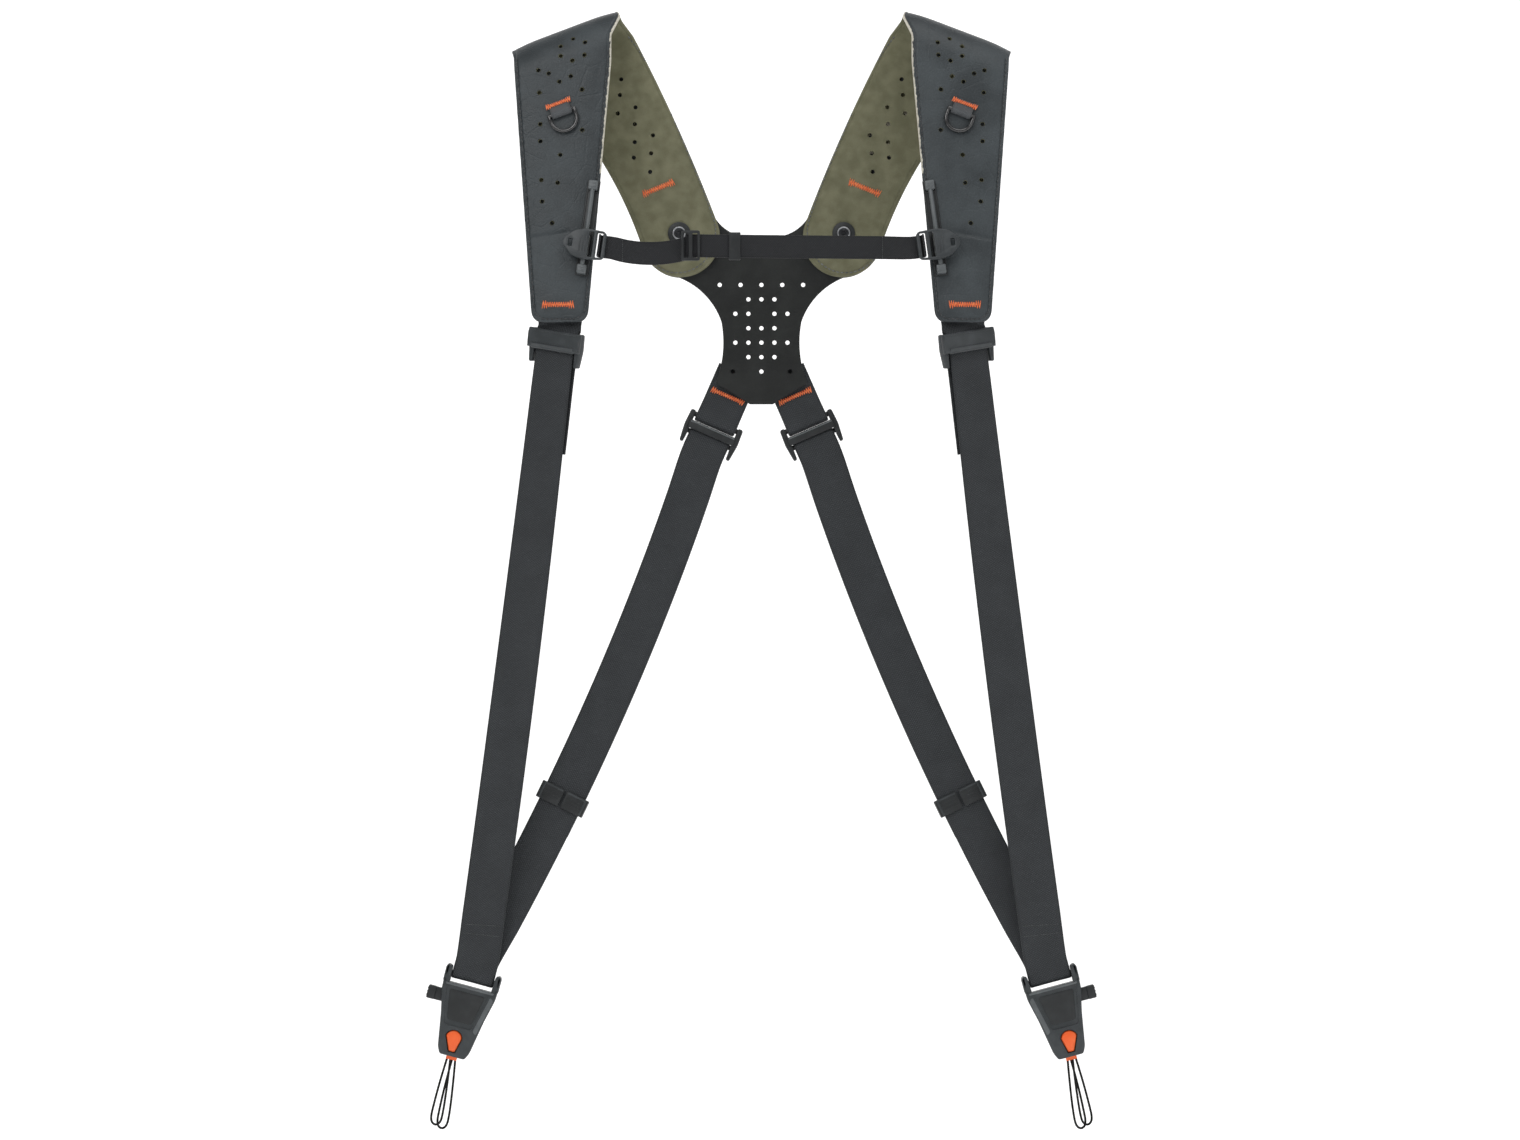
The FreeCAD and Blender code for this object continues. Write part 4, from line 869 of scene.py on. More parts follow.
@dataclass(frozen=True)
class StrapRun:
    """The way of a strap from its tail over a ladder bar down to the connector."""

    side: Side
    turn: float
    bow: float
    tail: float
    facing: int
    hook_gap: float

    @property
    def bar(self) -> Vector:
        """The middle of the ladder lock's top bar."""
        return PLAN.front_bar(self.side.sign) if self.facing < 0 else PLAN.rear_bar(self.side.sign)

    @property
    def place(self) -> Matrix:
        """The ladder lock's frame."""
        return PLAN.lock_frame(self.side.sign, self.bar, self.turn)

    def hook(self) -> list[Station]:
        """The strap's end: straight for a way, then a quarter turn under the connector's bar."""
        place = PLAN.connector_frame(self.side.sign)
        across, up = place.col[0].xyz, place.col[2].xyz
        bar = place.translation
        start = bar + Vector((0, self.facing * (PLAN.bar + PLAN.webbing / 2 + self.hook_gap), 0))
        points = [start + up * height for height in (12, 4)] + around(bar, start, -up, 84)
        return [(p, across) for p in points]

    def route(self, steps: int) -> list[Vector]:
        """The strap's free run below the lock."""
        front = PLAN.ladder_back - PLAN.reach
        below = self.place @ Vector((0, front, -PLAN.ladder_drop - PLAN.straight_run))
        return bowed(below, self.hook()[0][0], self.bow, steps)[1:-1]

    def stations(self) -> list[Station]:
        """The whole way, from the tail's end."""
        place, route = self.place, self.route(12)
        across, behind, up = (place.col[i].xyz for i in range(3))
        ladder = place @ Vector((0, PLAN.ladder_back, -PLAN.ladder_drop))
        reach, straight = PLAN.reach, PLAN.straight_run
        start = ladder + behind * reach
        run = [start - up * straight] + [p + behind * (2 * reach) for p in route]
        kept = [p for p in run if (p - start).length < self.tail - 1]
        last, following = kept[-1], run[len(kept)]
        kept.append(last + (following - last).normalized() * (self.tail - (last - start).length))
        top = kept[::-1] + around(ladder, start, up, 180) + [ladder - behind * reach - up * straight]
        stations = [(p, across) for p in top]
        level = Vector((1, 0, 0))
        for i, point in enumerate(route, start=1):
            share = min(1.0, 1.4 * i / len(route)) if self.facing < 0 else 0.0
            stations.append((point, (across * (1 - share) + level * share).normalized()))
        return stations + self.hook()


def strap_run(side: Side, front: bool) -> StrapRun:
    """The way of a side's front or rear strap."""
    if front:
        return StrapRun(side, math.radians(27), 1.5, 70.0, -1, 0.15)
    return StrapRun(side, 0.0, 10.5, 297.0, 1, 0.6)


def loop_stations(bar: Vector, place: Matrix, front: Sequence[Station],
                  rear: Sequence[Station]) -> list[Station]:
    """A webbing loop: down in front, round under a bar and up behind it."""
    across, behind, up = (place.col[i].xyz for i in range(3))
    reach = PLAN.bar + PLAN.loop_gap + PLAN.webbing / 2
    arc = around(bar, bar - behind * reach, -up, 180)
    points = [arc[0] + up * PLAN.loop_rise, *arc, arc[-1] + up * PLAN.loop_rise]
    return list(front) + [(p, across) for p in points] + list(rear)


# ---- sewing ----

@dataclass
class Sewing:
    """Stitches and bar tacks laid on a surface."""

    maker: Maker

    def stitches(self, name: str, path: Sequence[Station], body: str, slot: str,
                 finish: str = "dark_thread", long: float = 2.3, thick: float = 0.34) -> None:
        """Lays one short thread at each point of a path, along it.

        Args:
            name: The piece's name.
            path: Points on the surface with the surface's normals.
            body: The body it rides on.
            slot: Its material slot; not used.
            finish: Its finish.
            long: The length of a stitch.
            thick: The thread's radius.
        """
        shell = bmesh.new()
        for i, (point, normal) in enumerate(path):
            ahead = path[min(i + 1, len(path) - 1)][0] - path[max(i - 1, 0)][0]
            if ahead.length < 1e-3:
                continue
            place = frame_at(point + normal * thick * 0.25, ahead, ahead.cross(normal))
            self.thread(shell, place, long, thick)
        self.maker.finish(name, shell, AS_BUILT, finish, body, slot)

    def tack(self, name: str, path: Sequence[Station], body: str, slot: str,
             tall: float = 3.6, ends: float = 5.6) -> None:
        """Lays a dumbbell bar tack: threads side by side across a path, longer at its two ends."""
        shell = bmesh.new()
        last = len(path) - 1
        for i, (point, normal) in enumerate(path):
            ahead = path[min(i + 1, last)][0] - path[max(i - 1, 0)][0]
            wide = ends if min(i, last - i) < 4 else tall
            slant = Matrix.Rotation(math.radians(9 if i % 2 else -9), 3, normal)
            up = slant @ ahead.cross(normal)
            self.thread(shell, frame_at(point + normal * 0.3, up, ahead), wide, 0.42)
        self.maker.finish(name, shell, AS_BUILT, "orange_thread", body, slot)

    @staticmethod
    def thread(bm: bmesh.types.BMesh, place: Matrix, long: float, thick: float) -> None:
        """Adds one short thread with pinched ends."""
        for end in (-1, 1):
            cone = Matrix.Translation((0, 0, end * long / 4))
            radii = (thick, thick * 0.45) if end > 0 else (thick * 0.45, thick)
            bmesh.ops.create_cone(bm, cap_ends=True, segments=7, radius1=radii[0], radius2=radii[1],
                                  depth=long / 2, matrix=place @ cone)


def on_surface(tree: BVHTree, points: Iterable[Pair], start: float, ahead: int) -> list[Station]:
    """Drops points in the XZ plane onto a surface.

    Args:
        tree: The surface.
        points: (x, z) of each point.
        start: Depth from which they are dropped.
        ahead: 1 to drop them to the rear, -1 to the front.

    Returns:
        Each point found, with its outward normal.
    """
    found = []
    for x, z in points:
        place, normal, _, _ = tree.ray_cast(Vector((x, start, z)), Vector((0, ahead, 0)))
        if place is not None:
            found.append((place, normal if normal.y * ahead < 0 else -normal))
    return found


def walk(points: Sequence[Pair], spacing: float) -> list[Pair]:
    """Even steps along a line of points."""
    result, left = [points[0]], spacing
    for (x1, z1), (x2, z2) in zip(points, points[1:]):
        long = math.hypot(x2 - x1, z2 - z1)
        done = left
        while done <= long:
            result.append((x1 + (x2 - x1) * done / long, z1 + (z2 - z1) * done / long))
            done += spacing
        left = done - long
    return result


# ---- the shoulder pads ----

# Holes for air in the pad's front panel and in its rear part: (out, drop).
FRONT_HOLES = ((131.5, -6.9), (140.1, -1.5), (123.0, -4.2), (139.9, 5.5), (123.4, 4.9), (131.8, 8.8),
               (155.5, 15.6), (148.2, 17.9), (132.8, 19.9), (140.8, 23.7), (154.8, 31.3), (125.0, 29.3),
               (153.9, 53.6), (124.7, 57.8), (153.8, 65.7), (139.9, 75.3), (152.9, 92.9), (141.6, 94.9),
               (152.3, 108.0), (145.3, 123.2))
REAR_HOLES = ((98.9, 17.9), (99.8, 29.0), (88.8, 37.7), (101.3, 42.0), (89.3, 49.6), (76.5, 57.4),
              (89.3, 62.3), (77.8, 70.1), (90.0, 73.2), (78.5, 83.2))


@dataclass
class ShoulderPad:
    """One folded pad: leather, foam and suede pressed into one padded piece, with its sewing."""

    side: Side
    maker: Maker
    voxel: float = 1.15
    hole_radius: float = 1.45
    crown: float = 1.1
    nodes: tuple[str, ...] = ("pad_lining", "pad_foam", "pad_leather")
    tree: BVHTree = field(init=False)

    def heights(self, point: Vector) -> tuple[float, float]:
        """A point's height over the fold's middle, square to the rear part and to the front panel."""
        sign = self.side.sign
        upward = PLAN.fold_axes(sign)[1]
        high = (point - Vector((sign * PLAN.fold_out, 0, 0))).dot(upward) + PLAN.fold_radius + PLAN.pad_thick
        return high, point.y * math.sin(PLAN.lean) + high * math.cos(PLAN.lean)

    def layer_depth(self, point: Vector) -> float:
        """How far a point stands out from the pad's inner face."""
        high, ahead = self.heights(point)
        if high < 0 and point.y > 0:
            return point.y - PLAN.fold_radius
        if ahead < 0 and point.y < 0:
            return -point.y * math.cos(PLAN.lean) + high * math.sin(PLAN.lean) - PLAN.fold_radius
        return math.hypot(point.y, high) - PLAN.fold_radius

    def outward(self, point: Vector) -> Vector:
        """The direction out of the pad's outer face at a point."""
        upward = PLAN.fold_axes(self.side.sign)[1]
        high, ahead = self.heights(point)
        if high < 0 and point.y > 0:
            return Vector((0, 1, 0))
        if ahead < 0 and point.y < 0:
            return (Vector((0, -math.cos(PLAN.lean), 0)) + upward * math.sin(PLAN.lean)).normalized()
        return (Vector((0, point.y, 0)) + upward * high).normalized()

    def build(self) -> None:
        word = self.side.word
        blank = self.remeshed()
        self.mark(blank)
        blank_tree = BVHTree.FromBMesh(blank)
        mesh = bpy.data.meshes.new(f"{word}_pad")
        blank.transform(Matrix.Scale(MM, 4))
        blank.to_mesh(mesh)
        blank.free()
        holder = linked(f"{word}_pad_blank", mesh)
        cutter = linked(f"{word}_pad_punch", self.punches(blank_tree))
        punch = holder.modifiers.new("holes", "BOOLEAN")
        punch.object, punch.operation, punch.solver = cutter, "DIFFERENCE", "EXACT"
        pad_mesh = evaluated(holder)
        for extra in (holder, cutter):
            bpy.data.objects.remove(extra)
        pad_mesh.shade_smooth()
        pad = linked(f"{word}_shoulder_pad", pad_mesh)
        self.maker.adopt(pad, "pad", f"{word}_pad", "outer_leather", [f"{word}_{n}" for n in self.nodes])
        pad_mesh.set_sharp_from_angle(angle=math.radians(50))
        surface = bmesh.new()
        surface.from_mesh(pad_mesh)
        surface.transform(Matrix.Scale(1 / MM, 4))
        self.tree = BVHTree.FromBMesh(surface)
        surface.free()

    def remeshed(self) -> bmesh.types.BMesh:
        """The three layers as one even mesh with softened edges."""
        word = self.side.word
        layers = cad_copy([f"{word}_{n}" for n in self.nodes])
        mesh = bpy.data.meshes.new("layers")
        layers.to_mesh(mesh)
        layers.free()
        holder = linked("layers", mesh)
        even = holder.modifiers.new("even", "REMESH")
        even.mode, even.voxel_size, even.adaptivity = "VOXEL", self.voxel, 0.0
        result = evaluated(holder)
        bpy.data.objects.remove(holder)
        bm = bmesh.new()
        bm.from_mesh(result)
        for _ in range(3):
            bmesh.ops.smooth_vert(bm, verts=bm.verts, factor=0.5, use_axis_x=True, use_axis_y=True,
                                  use_axis_z=True)
        return bm

    def mark(self, bm: bmesh.types.BMesh) -> None:
        """Puffs the pad between its seams and stores its layer, rim distance and neck side."""
        neckward = PLAN.fold_axes(self.side.sign)[0]
        layer = bm.verts.layers.float.new("layer")
        rim = bm.verts.layers.float.new("rim")
        neck = bm.verts.layers.float.new("neck")
        bm.normal_update()
        rims = [v for v in bm.verts if abs(v.normal.dot(self.outward(v.co))) < 0.45]
        near = KDTree(len(rims))
        for i, v in enumerate(rims):
            near.insert(v.co, i)
        near.balance()
        moves = []
        for v in bm.verts:
            depth = self.layer_depth(v.co)
            _, index, far = near.find(v.co)
            v[layer], v[rim] = depth / PLAN.pad_thick, far
            raw_side = rims[index].normal.dot(neckward) > 0.5 and -88 < v.co.z and v.co.y < 6
            v[neck] = 1.0 if raw_side and far < 4.0 else 0.0
            swell = self.crown * (1 - math.exp(-(max(0.0, far - 1.5) / 9) ** 2))
            seam = 0.28 * math.exp(-((far - 2.6) / 0.9) ** 2)
            line = -129.5 - 0.16 * (self.side.sign * v.co.x - 132)
            crease = 0.75 * math.exp(-((v.co.z - line) / 1.5) ** 2) if v.co.y < 0 and depth > 2.6 else 0.0
            crease *= min(1.0, max(0.0, (self.side.sign * v.co.x - 131) / 6))
            puff = (swell, -seam) if depth > PLAN.pad_thick / 2 else (-0.3 * swell, seam)
            moves.append((v, self.outward(v.co) * (-crease + (puff[0] + puff[1]))))
        for v, move in moves:
            v.co += move

    def punches(self, tree: BVHTree) -> Mesh:
        """Rods that punch blind air holes, marked as raw edge so that the holes come out dark: the walls take the
        cut edge's tone and the blind floors are painted shade.
        """
        shell = Shell()
        for holes, start in ((FRONT_HOLES, -120.0), (REAR_HOLES, 0.0)):
            for point, normal in on_surface(tree, [(self.side.sign * x, -z) for x, z in holes], start, 1):
                rod = Shell().rod(self.hole_radius, 6.4, (0, 0, 0), Way.UP, 0.01, segments=20).bm
                rod.transform(frame_at(point, normal, Vector((1, 0, 0))))
                shell.take(rod)
        layer = shell.bm.verts.layers.float.new("layer")
        rim = shell.bm.verts.layers.float.new("rim")
        shell.bm.verts.layers.float.new("neck")
        # The holes' walls and blind floors get the dark cut-edge tone; on the floors it is painted shade for the
        # hole's depth.
        for v in shell.bm.verts:
            v[layer], v[rim] = 0.46, 9.0
        shell.bm.transform(Matrix.Scale(MM, 4))
        mesh = bpy.data.meshes.new("punches")
        shell.bm.to_mesh(mesh)
        shell.bm.free()
        return mesh

    def seam_path(self, front: bool) -> list[Pair]:
        """(x, z) points 2.6 mm inside the pad's rim, from the fold round its end and back."""
        sign = self.side.sign
        if front:
            middle, half = PLAN.front_middle, 17.4
            corners = [(171.4, 6.0), (171.8, 4.0), (middle + half, -186.0), (middle + half - 6, -190.3),
                       (middle - half + 6, -190.3), (middle - half, -186.0), (middle - 32.4, -8.0),
                       (104.0, 16.0)]
        else:
            corners = [(169.0, -4.0), (150.0, -26.0), (128.0, -58.0), (108.0, -88.0), (92.0, -118.0),
                       (84.6, -136.0), (78.0, -147.5), (66.0, -154.4), (52.0, -154.2), (40.0, -147.0),
                       (33.0, -134.0), (32.0, -122.0), (39.5, -100.0), (51.0, -72.0), (63.0, -44.0),
                       (74.0, -18.0), (88.0, 5.0), (99.0, 18.0)]
        return [(sign * x, z) for x, z in rounded(corners, 30.0, 6)[6:-6]]

    def sew(self, sewing: Sewing) -> None:
        """Sews the seams on both faces, and bar tacks on the strap tab and towards the yoke."""
        word, body = self.side.word, f"{self.side.word}_pad"
        for label, front, start, ahead in (("front_outer", True, -120.0, 1), ("front_inner", True, 0.0, -1),
                                           ("rear_inner", False, 0.0, 1), ("rear_outer", False, 90.0, -1)):
            points = walk(self.seam_path(front), 3.1)
            path = [(p, n) for p, n in on_surface(self.tree, points, start, ahead) if abs(n.y) > 0.55]
            if len(path) > 3:
                sewing.stitches(f"{word}_seam_{label}", path, body, "outer_leather",
                                "dark_thread" if "outer" in label else "seam_thread", 2.3, 0.5)
        for label, ends, start, ahead in (("strap", ((151.4, -180.2), (129.9, -180.2)), -120.0, 1),
                                          ("yoke", ((83.2, -98.9), (61.8, -90.2)), 0.0, 1)):
            line = [(self.side.sign * x, z) for x, z in ends]
            path = on_surface(self.tree, walk(line, 0.78), start, ahead)
            sewing.tack(f"{word}_tack_{label}", path, body, "outer_leather")


# ---- the yoke and its pivots ----

@dataclass
class Yoke:
    """The perforated leather plate between the shoulders, with its two swivels."""

    maker: Maker
    rounding: float = 0.7
    pivot: Pair = (58.0, 126.6)
    washer: Pair = (8.0, 1.4)
    head: Pair = (4.6, 3.7)
    socket: float = 1.9
    sides: int = 40

    def build(self) -> None:
        """Builds the plate from the model's own outline, with softened rims and holes."""
        loops = self.rim_loops()
        front = PLAN.yoke_front
        shell = Shell().slab(loops, front, front + PLAN.yoke_thick, self.rounding)
        self.maker.finish("yoke_plate", shell.bm, AS_BUILT, "yoke", "yoke", "yoke_leather", ["yoke"], 60)

    def rim_loops(self) -> list[list[Pair]]:
        """The outlines of the plate's front face, as runs of (x, z) points."""
        bm = cad_copy(["yoke"])
        bm.normal_update()
        face = {f for f in bm.faces if f.normal.y < -0.9}
        open_edges = {e for e in bm.edges if sum(f in face for f in e.link_faces) == 1}
        loops = []
        while open_edges:
            edge = open_edges.pop()
            first, here = edge.verts
            loop = [first, here]
            while here is not first:
                edge = next(e for e in here.link_edges if e in open_edges)
                open_edges.discard(edge)
                here = edge.other_vert(here)
                loop.append(here)
            loops.append([(v.co.x, v.co.z) for v in loop[:-1]])
        bm.free()
        return sorted(loops, key=len, reverse=True)

    def dress(self) -> None:
        """Builds the visible washers and screws and dresses the nuts."""
        out, drop = self.pivot
        front = PLAN.fold_radius - 0.4 - 1.5
        for side in Side:
            word, at = side.word, (side.sign * out, front, -drop)
            dome = Shell().rod(*self.washer, (at[0], front + 0.75, at[2]), Way.DEEP, 0.45, segments=64)
            outer, inner = self.head
            rim = [self.ring(at, outer, self.sides), self.ring(at, inner, self.sides)]
            head = Shell().slab(rim, front - 2.2, front - 0.02, 0.2)
            rim = [self.ring(at, inner + 0.02, self.sides), self.ring(at, self.socket, 6)]
            socket = Shell().slab(rim, front - 1.8, front - 0.2, 0.15)
            socket.rod(2.4, 0.3, (at[0], front - 0.3, at[2]), Way.DEEP, 0.05)
            for name, shell, finish, slot in (("washer_dome", dome, "dark", "black_washer"),
                                              ("screw_head", head, "steel", "dark_metal"),
                                              ("screw_socket", socket, "blackened", "dark_metal")):
                self.maker.finish(f"{word}_{name}", shell.bm, AS_BUILT, finish, "yoke", slot)
        for name, node in (("washer_dome", "pivot_washers"), ("screw_head", "pivot_screws")):
            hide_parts(node)
        self.maker.dress("pivot_nuts", "blackened")

    @staticmethod
    def ring(at: Sequence[float], radius: float, sides: int) -> list[Pair]:
        """An even outline about a middle, such as a circle or a six-sided socket."""
        turns = (2 * math.pi * i / sides for i in range(sides))
        return [(at[0] + radius * math.cos(a), at[2] + radius * math.sin(a)) for a in turns]


# ---- straps with their locks ----

@dataclass
class Strap:
    """A ladder lock with its sewn tab, and the strap that hangs from it."""

    side: Side
    maker: Maker
    front: bool

    @property
    def run(self) -> StrapRun:
        """The strap's way."""
        return strap_run(self.side, self.front)

    @property
    def body(self) -> str:
        """The body that the strap rides on."""
        return f"{self.side.word}_{'front' if self.front else 'rear'}"

    def build(self, sewing: Sewing) -> None:
        """Builds the strap, its tab and its lock."""
        name = "front" if self.front else "rear"
        word, run = self.side.word, self.run
        strap = ribbon(run.stations(), PLAN.webbing_wide, PLAN.webbing, 2.2, 0.15)
        self.maker.finish(f"{word}_{name}_webbing", strap, AS_BUILT, "webbing", self.body, "webbing",
                          [f"{word}_{name}_strap"], 80)
        tab_node = "pad_tab" if self.front else "yoke_tab"
        tab_body = f"{word}_pad" if self.front else "yoke"
        stations = self.pad_tab() if self.front else self.yoke_tab()
        self.maker.finish(f"{word}_{name}_loop", ribbon(stations, PLAN.webbing_wide, PLAN.webbing, 1.5),
                          AS_BUILT, "webbing", tab_body, "webbing", [f"{word}_{tab_node}"], 80)
        if not self.front:
            place = run.place
            points = [(place @ Vector((x * 0.8, -1.72, 20.5)), place.to_3x3() @ Vector((0, -1, 0)))
                      for x in range(-15, 16)]
            sewing.tack(f"{word}_tack_lock", points, "yoke", "webbing", 3.0, 4.6)
        self.tail_stitches(sewing)
        self.lock()

    def pad_tab(self) -> list[Station]:
        """The tab's way behind the pad's end and round the lock's bar."""
        side, run = self.side.sign, self.run
        level = PLAN.panel_axes(side)[2].cross(Vector((0, 0, 1))).normalized()
        level = level if level.x > 0 else -level
        first = PLAN.pad_thick / math.cos(PLAN.lean) + PLAN.webbing / 2 + 0.4
        second = first + PLAN.webbing + 0.2

        def behind(drop: float, depth: float) -> Station:
            """A station behind the panel."""
            return PLAN.panel_point(side, PLAN.front_middle, drop) + Vector((0, depth, 0)), level
        end = PLAN.front_length
        return loop_stations(run.bar, run.place, [behind(end - 22, first), behind(end + 0.3, first)],
                             [behind(end + 0.3, second), behind(end - 22, second)])

    def yoke_tab(self) -> list[Station]:
        """The tab's way behind the yoke and round the lock's bar."""
        run = self.run
        across, up = run.place.col[0].xyz, run.place.col[2].xyz
        off = Vector((0, PLAN.webbing / 2 + 0.1, 0))
        front = [(run.bar + up * h - off, across) for h in (40, 12)]
        rear = [(run.bar + up * h + off, across) for h in (12, 40)]
        return loop_stations(run.bar, run.place, front, rear)

    def tail_stitches(self, sewing: Sewing) -> None:
        """Two rows of stitches across the webbing just above the connector."""
        path = smooth_path(self.run.stations(), 2.0)
        facing = self.run.facing
        for row, back in enumerate((21, 24)):
            point, across = path[-back]
            along = (path[-back + 1][0] - path[-back - 1][0]).normalized()
            out = along.cross(across) if along.cross(across).y * facing > 0 else across.cross(along)
            line = [(point + across * (x * 1.5) + out * 0.78, out) for x in range(-8, 9)]
            sewing.stitches(f"{self.body}_hem_{row}", line, self.body, "webbing", "dark_thread", 1.2, 0.3)

    def lock(self) -> None:
        """Builds the ladder lock: two shaped arms, two bars and a ribbed cover plate."""
        word = self.side.word
        name = "front" if self.front else "rear"
        shell = Shell()
        inner, outer = 16.2, 20.4
        for end in (-1, 1):
            arm = rounded([(end * inner, 2.4), (end * (outer - 0.6), 2.4), (end * outer, -9.0),
                           (end * (outer - 1.4), -21.4), (end * (inner + 0.4), -21.4),
                           (end * inner, -15.0)], 1.6)
            shell.slab([arm], -2.9, 2.9, 0.6)
            rib = rounded([(end * (inner + 1.2), -1.0), (end * (outer - 1.4), -1.0),
                           (end * (outer - 1.9), -18.0), (end * (inner + 1.5), -18.0)], 0.8)
            shell.slab([rib], -3.3, -2.6, 0.22)
        bar = (PLAN.bar, 2 * outer - 1.6)
        shell.rod(*bar, (0, 0, 0)).rod(*bar, (0, PLAN.ladder_back, -PLAN.ladder_drop))
        if self.front:
            tall = 13.5
            for end in (-1, 1):
                shell.block((4.2, 3.6, tall), (end * (outer - 2.1), -4.0, 2.4 - tall / 2), 0.6)
            plate = rounded([(-outer + 0.6, 2.4), (outer - 0.6, 2.4), (outer, -1.0), (outer - 0.4, -9.6),
                             (outer - 3.6, -11.1), (-outer + 3.6, -11.1), (-outer + 0.4, -9.6),
                             (-outer, -1.0)], 1.4)
            shell.slab([plate], -6.6, -5.1, 0.5)
            lip = Matrix.Rotation(math.radians(28), 4, "X")
            shell.block((2 * outer - 7.4, 1.4, 4.2), (0, -6.1, -9.6), 0.5, lip)
            shell.block((2 * outer - 5.0, 0.7, 0.9), (0, -6.65, 1.2), 0.3)
        else:
            shell.block((2 * outer - 6, 1.3, 6.0), (0, -3.5, -7.8), 0.5)
        self.maker.finish(f"{word}_{name}_ladder_lock", shell.bm, self.run.place,
                          "mid" if self.front else "dark", self.body, "hardware_dark", [f"{word}_{name}_lock"])
        if not self.front:
            bright = Shell().block((2 * outer - 7.5, 0.7, 0.9), (0, -4.2, -5.9), 0.25)
            self.maker.finish(f"{word}_lock_lip", bright.bm, self.run.place, "light", self.body,
                              "hardware_dark")


@dataclass
class StrapKeeper:
    """The split band that slides on the rear strap and holds its tail."""

    side: Side
    maker: Maker

    def build(self) -> None:
        """Builds two C-shaped halves with rolled ends, on the model's own place."""
        word = self.side.word
        run = strap_run(self.side, False)
        route = run.route(100)
        index = min(range(1, len(route) - 1), key=lambda i: abs((route[i] - run.bar).length - 287.0))
        place = frame_at(route[index], route[index - 1] - route[index + 1], run.place.col[0].xyz)
        shell, pale = Shell(), Shell()
        for end in (-1, 1):
            shell.block((15.9, 1.6, 12.6), (end * 8.85, -2.15, 0), 0.5)
            shell.block((1.9, 11.2, 12.6), (end * 16.95, 2.7, 0), 0.6)
            pale.block((1.5, 1.0, 11.6), (end * 15.6, -2.75, 0), 0.35)
            pale.block((13.0, 0.5, 1.1), (end * 8.4, -2.95, 5.2), 0.2)
            for i in range(3):
                shell.block((12.0, 0.5, 0.9), (end * 8.4, -2.95, 2.2 - i * 2.4), 0.18)
        shell.block((33.0, 1.6, 12.6), (0, 7.55, 0), 0.5)
        self.maker.finish(f"{word}_keeper_band", shell.bm, place, "dark", f"{word}_keeper", "hardware_dark",
                          [f"{word}_strap_keeper"])
        self.maker.finish(f"{word}_keeper_ridges", pale.bm, place, "mid", f"{word}_keeper", "hardware_dark")


# ---- connectors, tongues and cord loops ----

def bulb(middle: Pair, radius: float, foot: Sequence[Pair], start: float, steps: int = 16) -> list[Pair]:
    """A drop's outline: an arc over the top from start degrees, closed by a foot."""
    angles = (math.radians(start + (180 - 2 * start) * i / steps) for i in range(steps + 1))
    return [(middle[0] + radius * math.cos(a), middle[1] + radius * math.sin(a)) for a in angles] + list(foot)


